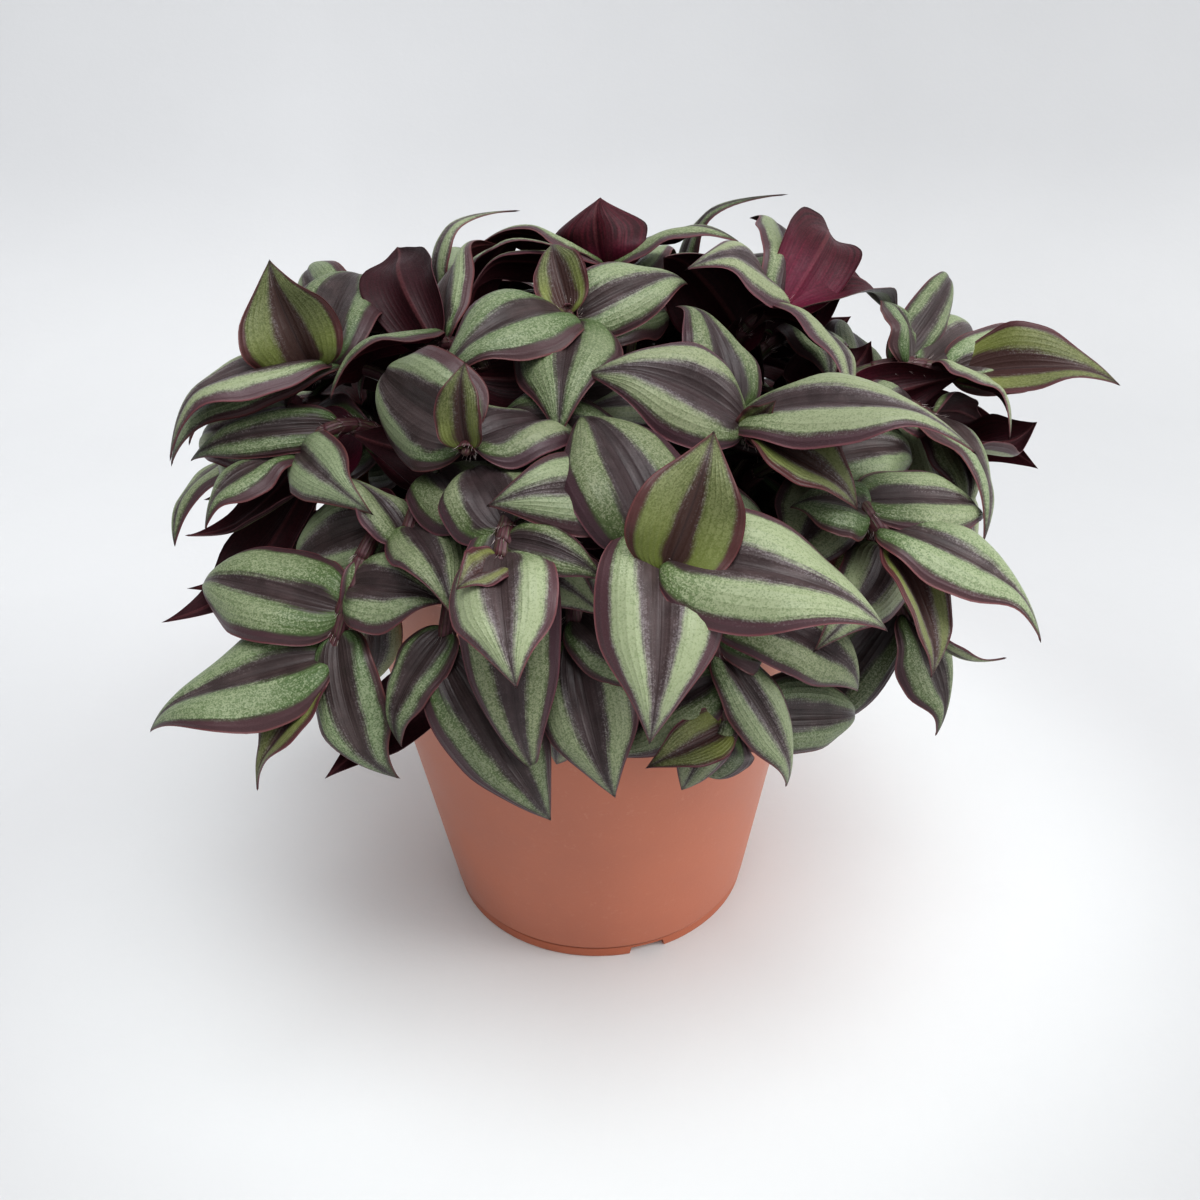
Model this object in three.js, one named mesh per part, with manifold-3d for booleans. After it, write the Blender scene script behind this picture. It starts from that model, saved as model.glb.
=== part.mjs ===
// Potted tradescantia: striped, trailing leafy stems that stand in soil in a terracotta-coloured pot.
// Millimetres, +Z up, standing on Z = 0. The photographed front faces -Y.
import * as THREE from "three";
import { mergeVertices } from "three/addons/utils/BufferGeometryUtils.js";
import Module from "manifold-3d";

const wasm = await Module();
wasm.setup();

// ---- driving sizes ----

const POT_SIDES = 32;
const POT_HEIGHT = 130;
const FOOT_RADIUS = 44; // outer radius of the ring that the pot stands on
const FOOT_HEIGHT = 3.4;
const FOOT_WIDTH = 3.2;
const FOOT_CHAMFER = 0.7;
const SEAM_DEPTH = 0.6; // groove between the foot ring and the wall
const SEAM_HEIGHT = 1;
const WALL_SLOPE = Math.tan((9.4 * Math.PI) / 180);
const WALL_THICKNESS = 1.6;
const RIM_HEIGHT = 6;
const RIM_WIDTH = 1.6; // how far the rim stands out from the wall
const RIM_CHAMFER = 0.8;
const FLOOR_HEIGHT = 2.2; // underside of the raised floor
const FLOOR_THICKNESS = 1.8;

const NOTCH_WIDTH = 10;
const NOTCH_HEIGHT = 2.6;
const NOTCH_ANGLES = [-73, 47, 167]; // degrees round the foot, the first one just right of the front
const DRAIN_COUNT = 6;
const DRAIN_SIDES = 8;
const DRAIN_RADIUS = 4;
const DRAIN_CIRCLE = 30;

const SOIL_TOP = 119;
const SOIL_CROWN = 3; // the soil is this much higher in the middle
const SOIL_GAP = 0.35;
const FACET_GAP = 0.15; // more room where flat facets stand for a round wall
const HOLE_DEPTH = 16;

const STEM_RADIUS = 1.6;
const NODE_RADIUS = 2.1; // the stem is thicker in its leaf sheaths
const STEM_SIDES = 5;
const STEM_STEPS = 4;
const STEM_BEND_HEIGHT = 50; // a stem rises this far above the soil before it bends out
const STEM_BEND_REACH = 0.45; // how far along the way to its apex that is
const STEM_TIP = 0.6; // the apex's radius as a share of the last sheath's

const BLADE_THICKNESS = 0.9;
const STEM_CLEARANCE = 1;
const CLEARANCE = 1.1; // a blade keeps about this much room on each face
const FREE_FROM = 0.25; // past this share of its length a blade keeps clear of its own stem's blades too
const OUTWARD_LEAN = 0.8; // how much a blade's upper face turns outwards, 1 being as much as upwards

// ---- the leafy stems ----

// leaf(at, tip, width, options): at is its place along the stem, 1 being the apex, and tip is where
// its point lies. turn rolls the blade about its midrib, in degrees: at 180 its back is uppermost.
// arch lifts the middle of the blade and hook drops its point, both as shares of its length.
const leaf = (at, tip, width, options = {}) => ({ at, tip, width, ...options });

// Stems seen from the front, placed one by one.
const PLACED_SHOOTS = [
  { root: [6, -36], apex: [15, -88, 148], leaves: [
    leaf(0.98, [24, -80, 174], 21, { young: true }),
    leaf(0.94, [56, -98, 144], 25),
    leaf(0.89, [-1, -53, 170], 26),
    leaf(0.84, [11, -109, 126], 24),
  ] },
  { root: [20, -14], apex: [35, -56, 162], leaves: [
    leaf(0.98, [56, -67, 153], 15, { young: true }),
    leaf(0.89, [2, -52, 178], 21),
    leaf(0.84, [77, -68, 161], 22),
    leaf(0.78, [23, -24, 184], 18, { hook: 0.1 }),
    leaf(0.94, [38, -58, 171], 7, { young: true }),
  ] },
  { root: [-10, -40], apex: [-17, -84, 148], leaves: [
    leaf(0.98, [-24, -93, 151], 10, { young: true }),
    leaf(0.94, [-14, -107, 139], 21),
    leaf(0.84, [-26, -57, 162], 21),
    leaf(0.89, [3, -88, 149], 10),
    leaf(0.78, [-13, -95, 105], 20),
  ] },
  { root: [-30, -30], apex: [-57, -74, 115], leaves: [
    leaf(0.98, [-73, -88, 101], 12, { young: true }),
    leaf(0.94, [-98, -76, 110], 24, { arch: 0.05 }),
    leaf(0.84, [-90, -49, 130], 23),
    leaf(0.89, [-45, -87, 99], 16, { hook: 0.2 }),
    leaf(0.78, [-29, -72, 134], 20),
  ] },
  { root: [-15, -26], apex: [-24, -62, 164], leaves: [
    leaf(0.98, [-24, -58, 181], 10, { young: true }),
    leaf(0.89, [-46, -30, 172], 25, { turn: -20 }),
    leaf(0.94, [1, -44, 161], 23),
  ] },
  { root: [30, -22], apex: [63, -66, 141], leaves: [
    leaf(0.98, [72, -83, 121], 16, { young: true }),
    leaf(0.94, [93, -82, 131], 19),
    leaf(0.89, [43, -60, 150], 17, { hook: 0.1 }),
    leaf(0.84, [90, -47, 140], 18),
  ] },
  { root: [-22, -8], apex: [-63, -22, 168], leaves: [
    leaf(0.98, [-69, -20, 192], 22, { young: true, turn: 60 }),
    leaf(0.94, [-54, 15, 182], 22, { turn: 35 }),
    leaf(0.89, [-95, -37, 162], 18, { hook: 0.15 }),
    leaf(0.84, [-99, -28, 153], 16),
  ] },
  { root: [-2, -8], apex: [-3, -25, 180], leaves: [
    leaf(0.98, [-7, -10, 193], 12, { young: true }),
    leaf(0.94, [-32, -46, 173], 22, { arch: 0.2 }),
    leaf(0.84, [-12, -58, 169], 23),
    leaf(0.89, [26, -6, 183], 17),
    leaf(0.78, [-30, 6, 172], 17),
    leaf(0.72, [24, 20, 166], 17),
  ] },
  { root: [34, -4], apex: [92, -8, 156], leaves: [
    leaf(0.94, [121, 0, 162], 19, { turn: 30 }),
    leaf(0.98, [122, -25, 163], 19, { young: true, turn: 50 }),
    leaf(0.89, [100, -30, 155], 13, { hook: 0.15 }),
    leaf(0.78, [75, 5, 173], 17),
    leaf(0.84, [104, 22, 158], 17),
    leaf(0.72, [94, 31, 169], 11, { hook: 0.12 }),
  ] },
  { root: [16, -44], apex: [28, -86, 108], leaves: [
    leaf(0.98, [11, -95, 109], 11, { young: true }),
    leaf(0.89, [-2, -86, 104], 17),
    leaf(0.78, [40, -66, 121], 21),
    leaf(0.94, [18, -88, 95], 11),
    leaf(0.72, [61, -72, 111], 18),
    leaf(0.84, [43, -88, 96], 13),
  ] },
  { root: [-20, -42], apex: [-31, -78, 119], leaves: [
    leaf(0.98, [-58, -90, 102], 14, { turn: 150 }),
    leaf(0.94, [-9, -99, 96], 21),
    leaf(0.89, [-43, -86, 109], 12, { hook: 0.15 }),
  ] },
  { root: [-34, -16], apex: [-67, -34, 150], leaves: [
    leaf(0.98, [-85, -50, 145], 17),
    leaf(0.89, [-98, -10, 147], 19),
    leaf(0.84, [-88, -45, 135], 18, { turn: 170 }),
    leaf(0.78, [-92, -53, 117], 18, { turn: 170 }),
    leaf(0.94, [-47, -62, 153], 15),
  ] },
  { root: [40, -18], apex: [72, -52, 114], leaves: [
    leaf(0.98, [82, -64, 91], 19, { arch: 0.05 }),
    leaf(0.94, [87, -62, 102], 9, { turn: 120 }),
    leaf(0.89, [60, -60, 124], 15, { turn: 170 }),
    leaf(0.84, [45, -78, 123], 16),
  ] },
  { root: [22, 6], apex: [51, 8, 170], leaves: [
    leaf(0.98, [64, 44, 176], 20, { turn: 180, arch: -0.3 }),
    leaf(0.94, [53, 38, 191], 20),
    leaf(0.89, [28, -15, 191], 18, { hook: 0.1 }),
    leaf(0.84, [86, 30, 160], 20, { turn: 180, arch: -0.3 }),
    leaf(0.78, [61, -36, 165], 18),
  ] },
  { root: [2, 12], apex: [6, 22, 177], leaves: [
    leaf(0.98, [4, 25, 194], 25, { turn: 180 }),
    leaf(0.94, [-26, 23, 187], 17, { turn: -20 }),
    leaf(0.89, [38, 19, 188], 17, { turn: 20 }),
    leaf(0.84, [-29, 8, 182], 16, { hook: 0.15 }),
    leaf(0.78, [-20, 50, 170], 17),
    leaf(0.72, [27, 48, 168], 17),
  ] },
  { root: [-12, 2], apex: [-35, -16, 171], leaves: [
    leaf(0.98, [-43, 18, 182], 18, { turn: 180, arch: -0.25 }),
    leaf(0.94, [-57, -36, 170], 20),
    leaf(0.89, [-20, 20, 183], 16),
  ] },
  { root: [40, -10], apex: [85, -22, 148], leaves: [
    leaf(0.98, [107, -20, 146], 24, { turn: 160 }),
    leaf(0.94, [89, -45, 141], 16),
    leaf(0.89, [84, -57, 136], 18),
    leaf(0.84, [62, -40, 160], 17),
  ] },
  { root: [-23, -26], apex: [-40, -61, 138], leaves: [
    leaf(0.94, [-69, -58, 143], 19),
    leaf(0.89, [-27, -84, 141], 16),
  ] },
  { root: [-6, -50], apex: [-3, -77, 123], leaves: [
    leaf(0.98, [-11, -91, 102], 17),
    leaf(0.9, [12, -86, 120], 13),
  ] },
];

// Lower on a placed stem with fewer than five leaves, one more fills the shade under them.
const FULL_STEM = 5;
const SHADE_LEAF = { at: 0.58, length: 34, width: 20, spread: 80 };

// Stems that fill the back and the crown follow a rule. Each ring has its heading of the first and
// last apex in degrees, its count, how far out and how high its apexes are, and where it is rooted.
const RINGS = [
  { from: 5, to: 174, count: 6, reach: 91, height: 122, rooted: 44 },
  { from: 28, to: 169, count: 5, reach: 70, height: 152, rooted: 33 },
  { from: 70, to: 150, count: 2, reach: 40, height: 165, rooted: 22 },
];
const RING_LEAVES = [
  { at: 0.98, length: 24, width: 14, spread: 14, young: true },
  { at: 0.93, length: 38, width: 21, spread: 62 },
  { at: 0.85, length: 44, width: 23, spread: 74 },
  { at: 0.75, length: 45, width: 23, spread: 82 },
  { at: 0.62, length: 42, width: 21, spread: 88 },
];

// A leaf that would cross something is bent, by the first of these that clears it: pitch lifts its
// point, yaw swings it and roll turns it about its midrib, in degrees, and scale shortens it.
const PITCHES = [0, 10, -10, 20, -20, 32, -32];
const YAWS = [0, 10, -10, 20, -20, 32, -32];
const ROLLS = [0, 22, -22];
const SCALES = [1, 0.88, 0.75];
const BENDS = SCALES.flatMap((scale) =>
  ROLLS.flatMap((roll) =>
    YAWS.flatMap((yaw) => PITCHES.map((pitch) => ({ pitch, yaw, roll, scale }))),
  ),
)
  .map((bend, order) => ({ ...bend, order, cost: bendCost(bend) }))
  .sort((a, b) => a.cost - b.cost || a.order - b.order);

function bendCost({ pitch, yaw, roll, scale }) {
  return Math.abs(pitch) + Math.abs(yaw) + 0.5 * Math.abs(roll) + 160 * (1 - scale);
}

// ---- small helpers ----

const UP = new THREE.Vector3(0, 0, 1);
const rad = THREE.MathUtils.degToRad;
const mix = THREE.MathUtils.lerp;

// A repeatable draw from 0 to 1 for one leaf or stem.
function draw(...keys) {
  let a = 2166136261;
  for (const key of keys) a = Math.imul(a ^ (key + 1), 16777619) >>> 0;
  a = Math.imul(a ^ (a >>> 15), a | 1) >>> 0;
  a = (a ^ (a + Math.imul(a ^ (a >>> 7), a | 61))) >>> 0;
  return ((a ^ (a >>> 14)) >>> 0) / 4294967296;
}

const spread = (range, ...keys) => (2 * draw(...keys) - 1) * range;

function solid(geometry) {
  const bare = geometry.clone();
  bare.deleteAttribute("normal");
  bare.deleteAttribute("uv");
  const merged = mergeVertices(bare, 1e-4);
  return new wasm.Manifold(
    new wasm.Mesh({
      numProp: 3,
      vertProperties: merged.attributes.position.array,
      triVerts: new Uint32Array(merged.index.array),
    }),
  );
}

function geometryOf(shape) {
  const { vertProperties, triVerts } = shape.getMesh();
  const geometry = new THREE.BufferGeometry();
  geometry.setAttribute("position", new THREE.BufferAttribute(vertProperties, 3));
  geometry.setIndex(new THREE.BufferAttribute(triVerts, 1));
  geometry.computeVertexNormals();
  return geometry;
}

// A closed solid from a flat list of points and a list of faces, each wound outwards.
function solidOf(points, faces) {
  const coordinates = points.flatMap((point) => point.toArray());
  const geometry = new THREE.BufferGeometry();
  geometry.setAttribute("position", new THREE.Float32BufferAttribute(coordinates, 3));
  geometry.setIndex(faces.flat());
  return solid(geometry);
}

function boxesMeet(a, b) {
  return [0, 1, 2].every((i) => a.min[i] <= b.max[i] && b.min[i] <= a.max[i]);
}

// ---- pot ----

const wallRadius = (z) => FOOT_RADIUS + WALL_SLOPE * z;

function lathe(profile) {
  const points = profile.map(([r, z]) => new THREE.Vector2(r, z));
  return solid(new THREE.LatheGeometry(points, POT_SIDES).rotateX(Math.PI / 2));
}

function potSolid() {
  const inner = (z) => wallRadius(z) - WALL_THICKNESS;
  const wallBase = FOOT_HEIGHT + SEAM_HEIGHT;
  const rimBase = POT_HEIGHT - RIM_HEIGHT;
  const floorTop = FLOOR_HEIGHT + FLOOR_THICKNESS;
  let pot = lathe([
    [0, FLOOR_HEIGHT],
    [FOOT_RADIUS - FOOT_WIDTH, FLOOR_HEIGHT],
    [FOOT_RADIUS - FOOT_WIDTH, 0],
    [FOOT_RADIUS - FOOT_CHAMFER, 0],
    [FOOT_RADIUS, FOOT_CHAMFER],
    [FOOT_RADIUS, FOOT_HEIGHT],
    [FOOT_RADIUS - SEAM_DEPTH, FOOT_HEIGHT + SEAM_HEIGHT / 2],
    [wallRadius(wallBase), wallBase],
    [wallRadius(rimBase), rimBase],
    [wallRadius(rimBase) + RIM_WIDTH, rimBase + RIM_CHAMFER],
    [wallRadius(POT_HEIGHT) + RIM_WIDTH, POT_HEIGHT - RIM_CHAMFER],
    [wallRadius(POT_HEIGHT) + RIM_WIDTH - RIM_CHAMFER, POT_HEIGHT],
    [inner(POT_HEIGHT), POT_HEIGHT],
    [inner(floorTop), floorTop],
    [0, floorTop],
  ]);
  for (const angle of NOTCH_ANGLES) {
    const cutter = new THREE.BoxGeometry(3 * FOOT_WIDTH, NOTCH_WIDTH, 2 * NOTCH_HEIGHT);
    cutter.translate(FOOT_RADIUS, 0, 0).rotateZ(rad(angle));
    pot = pot.subtract(solid(cutter));
  }
  for (let i = 0; i < DRAIN_COUNT; i++) {
    const depth = 3 * FLOOR_THICKNESS;
    const drain = new THREE.CylinderGeometry(DRAIN_RADIUS, DRAIN_RADIUS, depth, DRAIN_SIDES);
    drain.rotateX(Math.PI / 2).translate(DRAIN_CIRCLE, 0, FLOOR_HEIGHT + FLOOR_THICKNESS / 2);
    drain.rotateZ(rad((360 * (i + 0.5)) / DRAIN_COUNT));
    pot = pot.subtract(solid(drain));
  }
  return pot;
}

// ---- soil ----

function soilHeight(x, y) {
  const share = Math.hypot(x, y) / wallRadius(SOIL_TOP);
  return SOIL_TOP + SOIL_CROWN * (1 - share * share);
}

// The soil fills the pot up to a shallow crown, with a plain hole for each stem.
function soilSolid(roots) {
  const inner = (z) => wallRadius(z) - WALL_THICKNESS - SOIL_GAP - FACET_GAP;
  const bottom = FLOOR_HEIGHT + FLOOR_THICKNESS + SOIL_GAP;
  const halfway = inner(SOIL_TOP) / 2;
  let soil = lathe([
    [0, bottom],
    [inner(bottom), bottom],
    [inner(SOIL_TOP), SOIL_TOP],
    [halfway, soilHeight(halfway, 0)],
    [0, SOIL_TOP + SOIL_CROWN],
  ]);
  const holeRadius = STEM_RADIUS + SOIL_GAP + FACET_GAP;
  for (const [x, y] of roots) {
    const hole = new THREE.CylinderGeometry(holeRadius, holeRadius, 2 * HOLE_DEPTH, STEM_SIDES);
    hole.rotateX(Math.PI / 2).translate(x, y, soilHeight(x, y));
    soil = soil.subtract(solid(hole));
  }
  return soil;
}

// ---- stems ----

// A stem rises straight out of its hole and then bends over towards its apex.
function stemPath({ root, apex }) {
  const [x, y] = root;
  const ground = soilHeight(x, y);
  const start = new THREE.Vector3(x, y, ground + 2);
  const end = new THREE.Vector3(...apex);
  const bend = start.clone().lerp(end, STEM_BEND_REACH).setZ(ground + STEM_BEND_HEIGHT);
  return new THREE.QuadraticBezierCurve3(start, bend, end);
}

// Rings of points round the stem, from the bottom of its hole to a short taper at the apex.
function stemRings(path) {
  const foot = path.getPoint(0).addScaledVector(UP, 1 - HOLE_DEPTH);
  const rings = [{ centre: foot, along: UP, radius: STEM_RADIUS }];
  for (let i = 0; i <= STEM_STEPS; i++) {
    const t = i / STEM_STEPS;
    const radius = i === STEM_STEPS ? STEM_TIP * NODE_RADIUS : mix(STEM_RADIUS, NODE_RADIUS, t);
    rings.push({ centre: path.getPoint(t), along: i ? path.getTangent(t) : UP, radius });
  }
  return rings;
}

function stemSolid(path, extra = 0) {
  const points = [];
  const faces = [];
  const rings = stemRings(path);
  const ahead = path.getPoint(1).sub(path.getPoint(0)).setZ(0).normalize();
  const across = new THREE.Vector3().crossVectors(UP, ahead);
  for (const { centre, along, radius } of rings) {
    const inward = new THREE.Vector3().crossVectors(across, along);
    for (let k = 0; k < STEM_SIDES; k++) {
      const turn = (2 * Math.PI * k) / STEM_SIDES;
      points.push(
        centre
          .clone()
          .addScaledVector(across, (radius + extra) * Math.cos(turn))
          .addScaledVector(inward, -(radius + extra) * Math.sin(turn)),
      );
    }
  }
  const at = (ring, k) => ring * STEM_SIDES + (k % STEM_SIDES);
  for (let ring = 0; ring + 1 < rings.length; ring++) {
    for (let k = 0; k < STEM_SIDES; k++) {
      faces.push([at(ring, k), at(ring, k + 1), at(ring + 1, k)]);
      faces.push([at(ring, k + 1), at(ring + 1, k + 1), at(ring + 1, k)]);
    }
  }
  for (let k = 1; k + 1 < STEM_SIDES; k++) {
    faces.push([at(0, 0), at(0, k + 1), at(0, k)]);
    faces.push([at(rings.length - 1, 0), at(rings.length - 1, k), at(rings.length - 1, k + 1)]);
  }
  return solidOf(points, faces);
}

// ---- leaves ----

// Half the width of a blade along its length, as a share of its widest: broad and round at the
// base, widest at a third of the way, full further on and then drawn in to a point.
function outline(u) {
  return Math.max(0, Math.sin(Math.PI * u ** 0.66)) ** (0.52 + 0.14 * u + 0.35 * u ** 8);
}

// The leaf's own axes: along its chord, across it, and out of its upper face, which looks up and
// away from the middle of the plant.
function leafAxes(base, tip, turn, bend) {
  const along = tip.clone().sub(base);
  const length = along.length() * bend.scale;
  along.normalize();
  const middle = base.clone().add(tip).multiplyScalar(0.5);
  const sky = middle.setZ(0).normalize().multiplyScalar(OUTWARD_LEAN).add(UP);
  const face = sky.addScaledVector(along, -sky.dot(along)).normalize();
  face.applyAxisAngle(along, rad(turn + bend.roll));
  const across = new THREE.Vector3().crossVectors(face, along);
  along.applyAxisAngle(across, -rad(bend.pitch));
  face.applyAxisAngle(across, -rad(bend.pitch));
  along.applyAxisAngle(face, rad(bend.yaw));
  across.applyAxisAngle(face, rad(bend.yaw));
  return { along, across, face, length };
}

// A point of the blade's middle surface, u along it from 0 to 1 and v across it from -1 to 1.
function bladePoint(plan, base, axes, u, v) {
  const bladeScale = axes.length / plan.span;
  const width = 0.5 * plan.width * bladeScale * outline(u);
  const fold = (plan.young ? 0.85 : 0.5) * (1 - 0.35 * u);
  const curl = plan.young ? 0.1 : 0.4;
  const lift = width * (fold * Math.abs(v) - curl * v * v);
  const wave = 0.1 * width * v * Math.sin(2 * Math.PI * (1.2 * u + plan.phase));
  const rise = plan.arch * 4 * u * (1 - u) - plan.hook * Math.max(0, (u - 0.7) / 0.3) ** 2;
  return base
    .clone()
    .addScaledVector(axes.along, axes.length * u)
    .addScaledVector(axes.across, width * v * (1 - 0.12 * fold) + axes.length * plan.sickle * u * (1 - u))
    .addScaledVector(axes.face, lift + wave + axes.length * rise);
}

// A placed blade wider than this has four strips across. The others have two.
const FULL_WIDTH = 17.5;
const FULL_BLADE = { stations: [0, 0.1, 0.36, 0.76, 1], strips: 4 };
const SMALL_BLADE = { stations: [0, 0.12, 0.42, 0.78, 1], strips: 2 };
const FILLING_BLADE = { stations: [0, 0.16, 0.6, 1], strips: 2 };

// A point lifted off the middle surface. The slopes are taken just inside the blade's two ends.
function liftedPoint(plan, base, axes, u, v, lift) {
  const step = 1e-3;
  const inside = mix(0.02, 0.97, u);
  const at = (a, b) => bladePoint(plan, base, axes, a, b);
  const lengthways = at(inside + step, v).sub(at(inside - step, v));
  const sideways = at(inside, v + step).sub(at(inside, v - step));
  return at(u, v).addScaledVector(lengthways.cross(sideways).normalize(), lift);
}

// A closed blade with its two faces split into triangles alike. from leaves off its root.
function bladeSolid(plan, base, axes, thickness, from = 0) {
  const strips = plan.grid.strips;
  const stations = plan.grid.stations.filter((u) => u >= from);
  const points = [];
  const faces = [];
  const index = [];
  for (const u of stations) {
    const row = [];
    const last = u === 0 || u === 1 ? 0 : strips;
    for (let k = 0; k <= last; k++) {
      const v = last ? (2 * k) / strips - 1 : 0;
      row.push(points.length);
      points.push(liftedPoint(plan, base, axes, u, v, thickness / 2));
      points.push(liftedPoint(plan, base, axes, u, v, -thickness / 2));
    }
    index.push(row);
  }
  // Each corner is a pair of points, the upper one first.
  const both = (a, b, c) => faces.push([a, b, c], [a + 1, c + 1, b + 1]);
  const rim = (a, b) => faces.push([a, a + 1, b + 1], [a, b + 1, b]);
  for (let i = 0; i + 1 < index.length; i++) {
    const here = index[i];
    const next = index[i + 1];
    for (let k = 0; k < strips; k++) {
      if (here.length === 1) both(here[0], next[k], next[k + 1]);
      else if (next.length === 1) both(here[k], next[0], here[k + 1]);
      else {
        both(here[k], next[k], next[k + 1]);
        both(here[k], next[k + 1], here[k + 1]);
      }
    }
    rim(here[0], next[0]);
    rim(next[next.length - 1], here[here.length - 1]);
  }
  const root = index[0];
  for (let k = 0; k + 1 < root.length; k++) rim(root[k + 1], root[k]);
  return solidOf(points, faces);
}

// ---- placing everything ----

// The plain plan of a ringed stem: its apex from its ring, and its leaves left and right in turn.
function ringShoots() {
  const shoots = [];
  RINGS.forEach((ring, r) => {
    for (let i = 0; i < ring.count; i++) {
      const heading = rad(mix(ring.from, ring.to, i / (ring.count - 1)) + spread(6, 1, r, i));
      const reach = ring.reach + spread(6, 2, r, i);
      const height = ring.height + spread(7, 3, r, i);
      const out = new THREE.Vector2(Math.cos(heading), Math.sin(heading));
      const apex = [reach * out.x, reach * out.y, height];
      const root = [ring.rooted * out.x, ring.rooted * out.y];
      shoots.push({ root, apex, leaves: RING_LEAVES.map((one) => ({ ...one })) });
    }
  });
  return shoots;
}

// A ringed leaf's point lies aside from the stem's direction, level with it or a little below.
function ringTip(plan, base, tangent, hand, keys) {
  const aside = new THREE.Vector3().crossVectors(UP, tangent).normalize();
  const angle = rad(plan.spread + spread(12, 4, ...keys));
  const rise = spread(0.25, 5, ...keys) + (plan.young ? 0.5 : 0.05);
  const along = tangent.clone().multiplyScalar(Math.cos(angle));
  along.addScaledVector(aside, hand * Math.sin(angle)).addScaledVector(UP, rise).normalize();
  return base.clone().addScaledVector(along, plan.length * (1 + spread(0.08, 6, ...keys)));
}

const shoots = [...PLACED_SHOOTS, ...ringShoots()];

const pot = potSolid();
const soil = soilSolid(shoots.map((shoot) => shoot.root));

// Everything that a leaf has to keep clear of: its solid, its box and the stem that it is on.
const obstacles = [];
const addObstacle = (shape, owner) => obstacles.push({ shape, box: shape.boundingBox(), owner });
addObstacle(pot, "pot");
addObstacle(soil, "soil");

function meets(shape, others) {
  const box = shape.boundingBox();
  return others.some((other) => boxesMeet(box, other.box) && shape.intersect(other.shape).volume() > 0);
}

shoots.forEach((shoot, index) => {
  shoot.path = stemPath(shoot);
  const room = stemSolid(shoot.path, STEM_CLEARANCE);
  const others = obstacles.filter((other) => other.owner !== "soil");
  if (meets(room, others)) throw new Error("stem " + (index + 1) + " crosses another piece");
  const stem = stemSolid(shoot.path);
  shoot.parts = [stem];
  shoot.outer = [];
  addObstacle(stem, index);
});

// Puts one leaf on a stem, bent clear of everything that is there already. Where no bend clears
// it, the stem does without it.
function placeLeaf(shoot, index, plan, order) {
  const keys = [index, order];
  const base = shoot.path.getPoint(plan.at);
  const hand = (index + order) % 2 ? 1 : -1;
  const tip = plan.tip
    ? new THREE.Vector3(...plan.tip)
    : ringTip(plan, base, shoot.path.getTangent(plan.at), hand, keys);
  const shaped = { turn: 0, hook: 0.05, arch: plan.young ? 0.04 : 0.1, ...plan };
  shaped.phase = draw(7, ...keys);
  shaped.sickle = spread(0.12, 8, ...keys);
  shaped.span = base.distanceTo(tip);
  if (!plan.tip) shaped.grid = FILLING_BLADE;
  else shaped.grid = plan.width > FULL_WIDTH ? FULL_BLADE : SMALL_BLADE;
  const others = obstacles.filter((other) => other.owner !== index);
  const bend = BENDS.find((one) => {
    const axes = leafAxes(base, tip, shaped.turn, one);
    const outer = bladeSolid(shaped, base, axes, BLADE_THICKNESS + CLEARANCE, FREE_FROM);
    if (meets(outer, shoot.outer)) return false;
    return !meets(bladeSolid(shaped, base, axes, BLADE_THICKNESS + 2 * CLEARANCE), others);
  });
  if (!bend) return;
  const axes = leafAxes(base, tip, shaped.turn, bend);
  const blade = bladeSolid(shaped, base, axes, BLADE_THICKNESS);
  const outer = bladeSolid(shaped, base, axes, BLADE_THICKNESS, FREE_FROM);
  shoot.outer.push({ shape: outer, box: outer.boundingBox() });
  shoot.parts.push(blade);
  addObstacle(blade, index);
}

shoots.forEach((shoot, index) => {
  shoot.leaves.forEach((plan, order) => placeLeaf(shoot, index, plan, order));
});
PLACED_SHOOTS.forEach((shoot, index) => {
  const count = shoot.leaves.length;
  if (count < FULL_STEM) placeLeaf(shoot, index, SHADE_LEAF, count);
});

// One body from a stem and its leaves: a hollow that fusing seals is filled, a loose scrap dropped.
function fused(parts) {
  const bodies = wasm.Manifold.union(parts).decompose();
  return bodies.reduce((most, body) => (body.volume() > most.volume() ? body : most));
}

// ---- the plant ----

const plant = new THREE.Group();
const materials = {
  pot: new THREE.MeshStandardMaterial({ color: 0xb8694f, roughness: 0.5, metalness: 0 }),
  soil: new THREE.MeshStandardMaterial({ color: 0x2b211b, roughness: 1, metalness: 0 }),
  shoot: new THREE.MeshStandardMaterial({ color: 0x6f7f63, roughness: 0.55, metalness: 0 }),
};

function addPiece(name, shape, material) {
  const mesh = new THREE.Mesh(geometryOf(shape), material);
  mesh.name = name;
  plant.add(mesh);
}

addPiece("pot", pot, materials.pot);
addPiece("soil", soil, materials.soil);
shoots.forEach((shoot, index) => {
  const name = "shoot_" + String(index + 1).padStart(2, "0");
  addPiece(name, fused(shoot.parts), materials.shoot);
});

// The origin is on the ground, in the middle of the whole plant's box.
const box = new THREE.Box3().setFromObject(plant);
plant.position.set(-(box.min.x + box.max.x) / 2, -(box.min.y + box.max.y) / 2, 0);

export default plant;
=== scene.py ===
"""Potted tradescantia: striped, trailing leafy stems in a terracotta-coloured plastic pot.

Laid out as a Blender add-on with one operator for each group of pieces. The leaves and stems follow
the same plan as the construction model, drawn finer and given their stripes, veins and hairs.
"""
import math

import bmesh
import bpy
import numpy as np
from bpy.props import FloatProperty, FloatVectorProperty, IntProperty, PointerProperty
from mathutils import Matrix, Vector, noise
from mathutils.bvhtree import BVHTree
from mathutils.kdtree import KDTree


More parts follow.
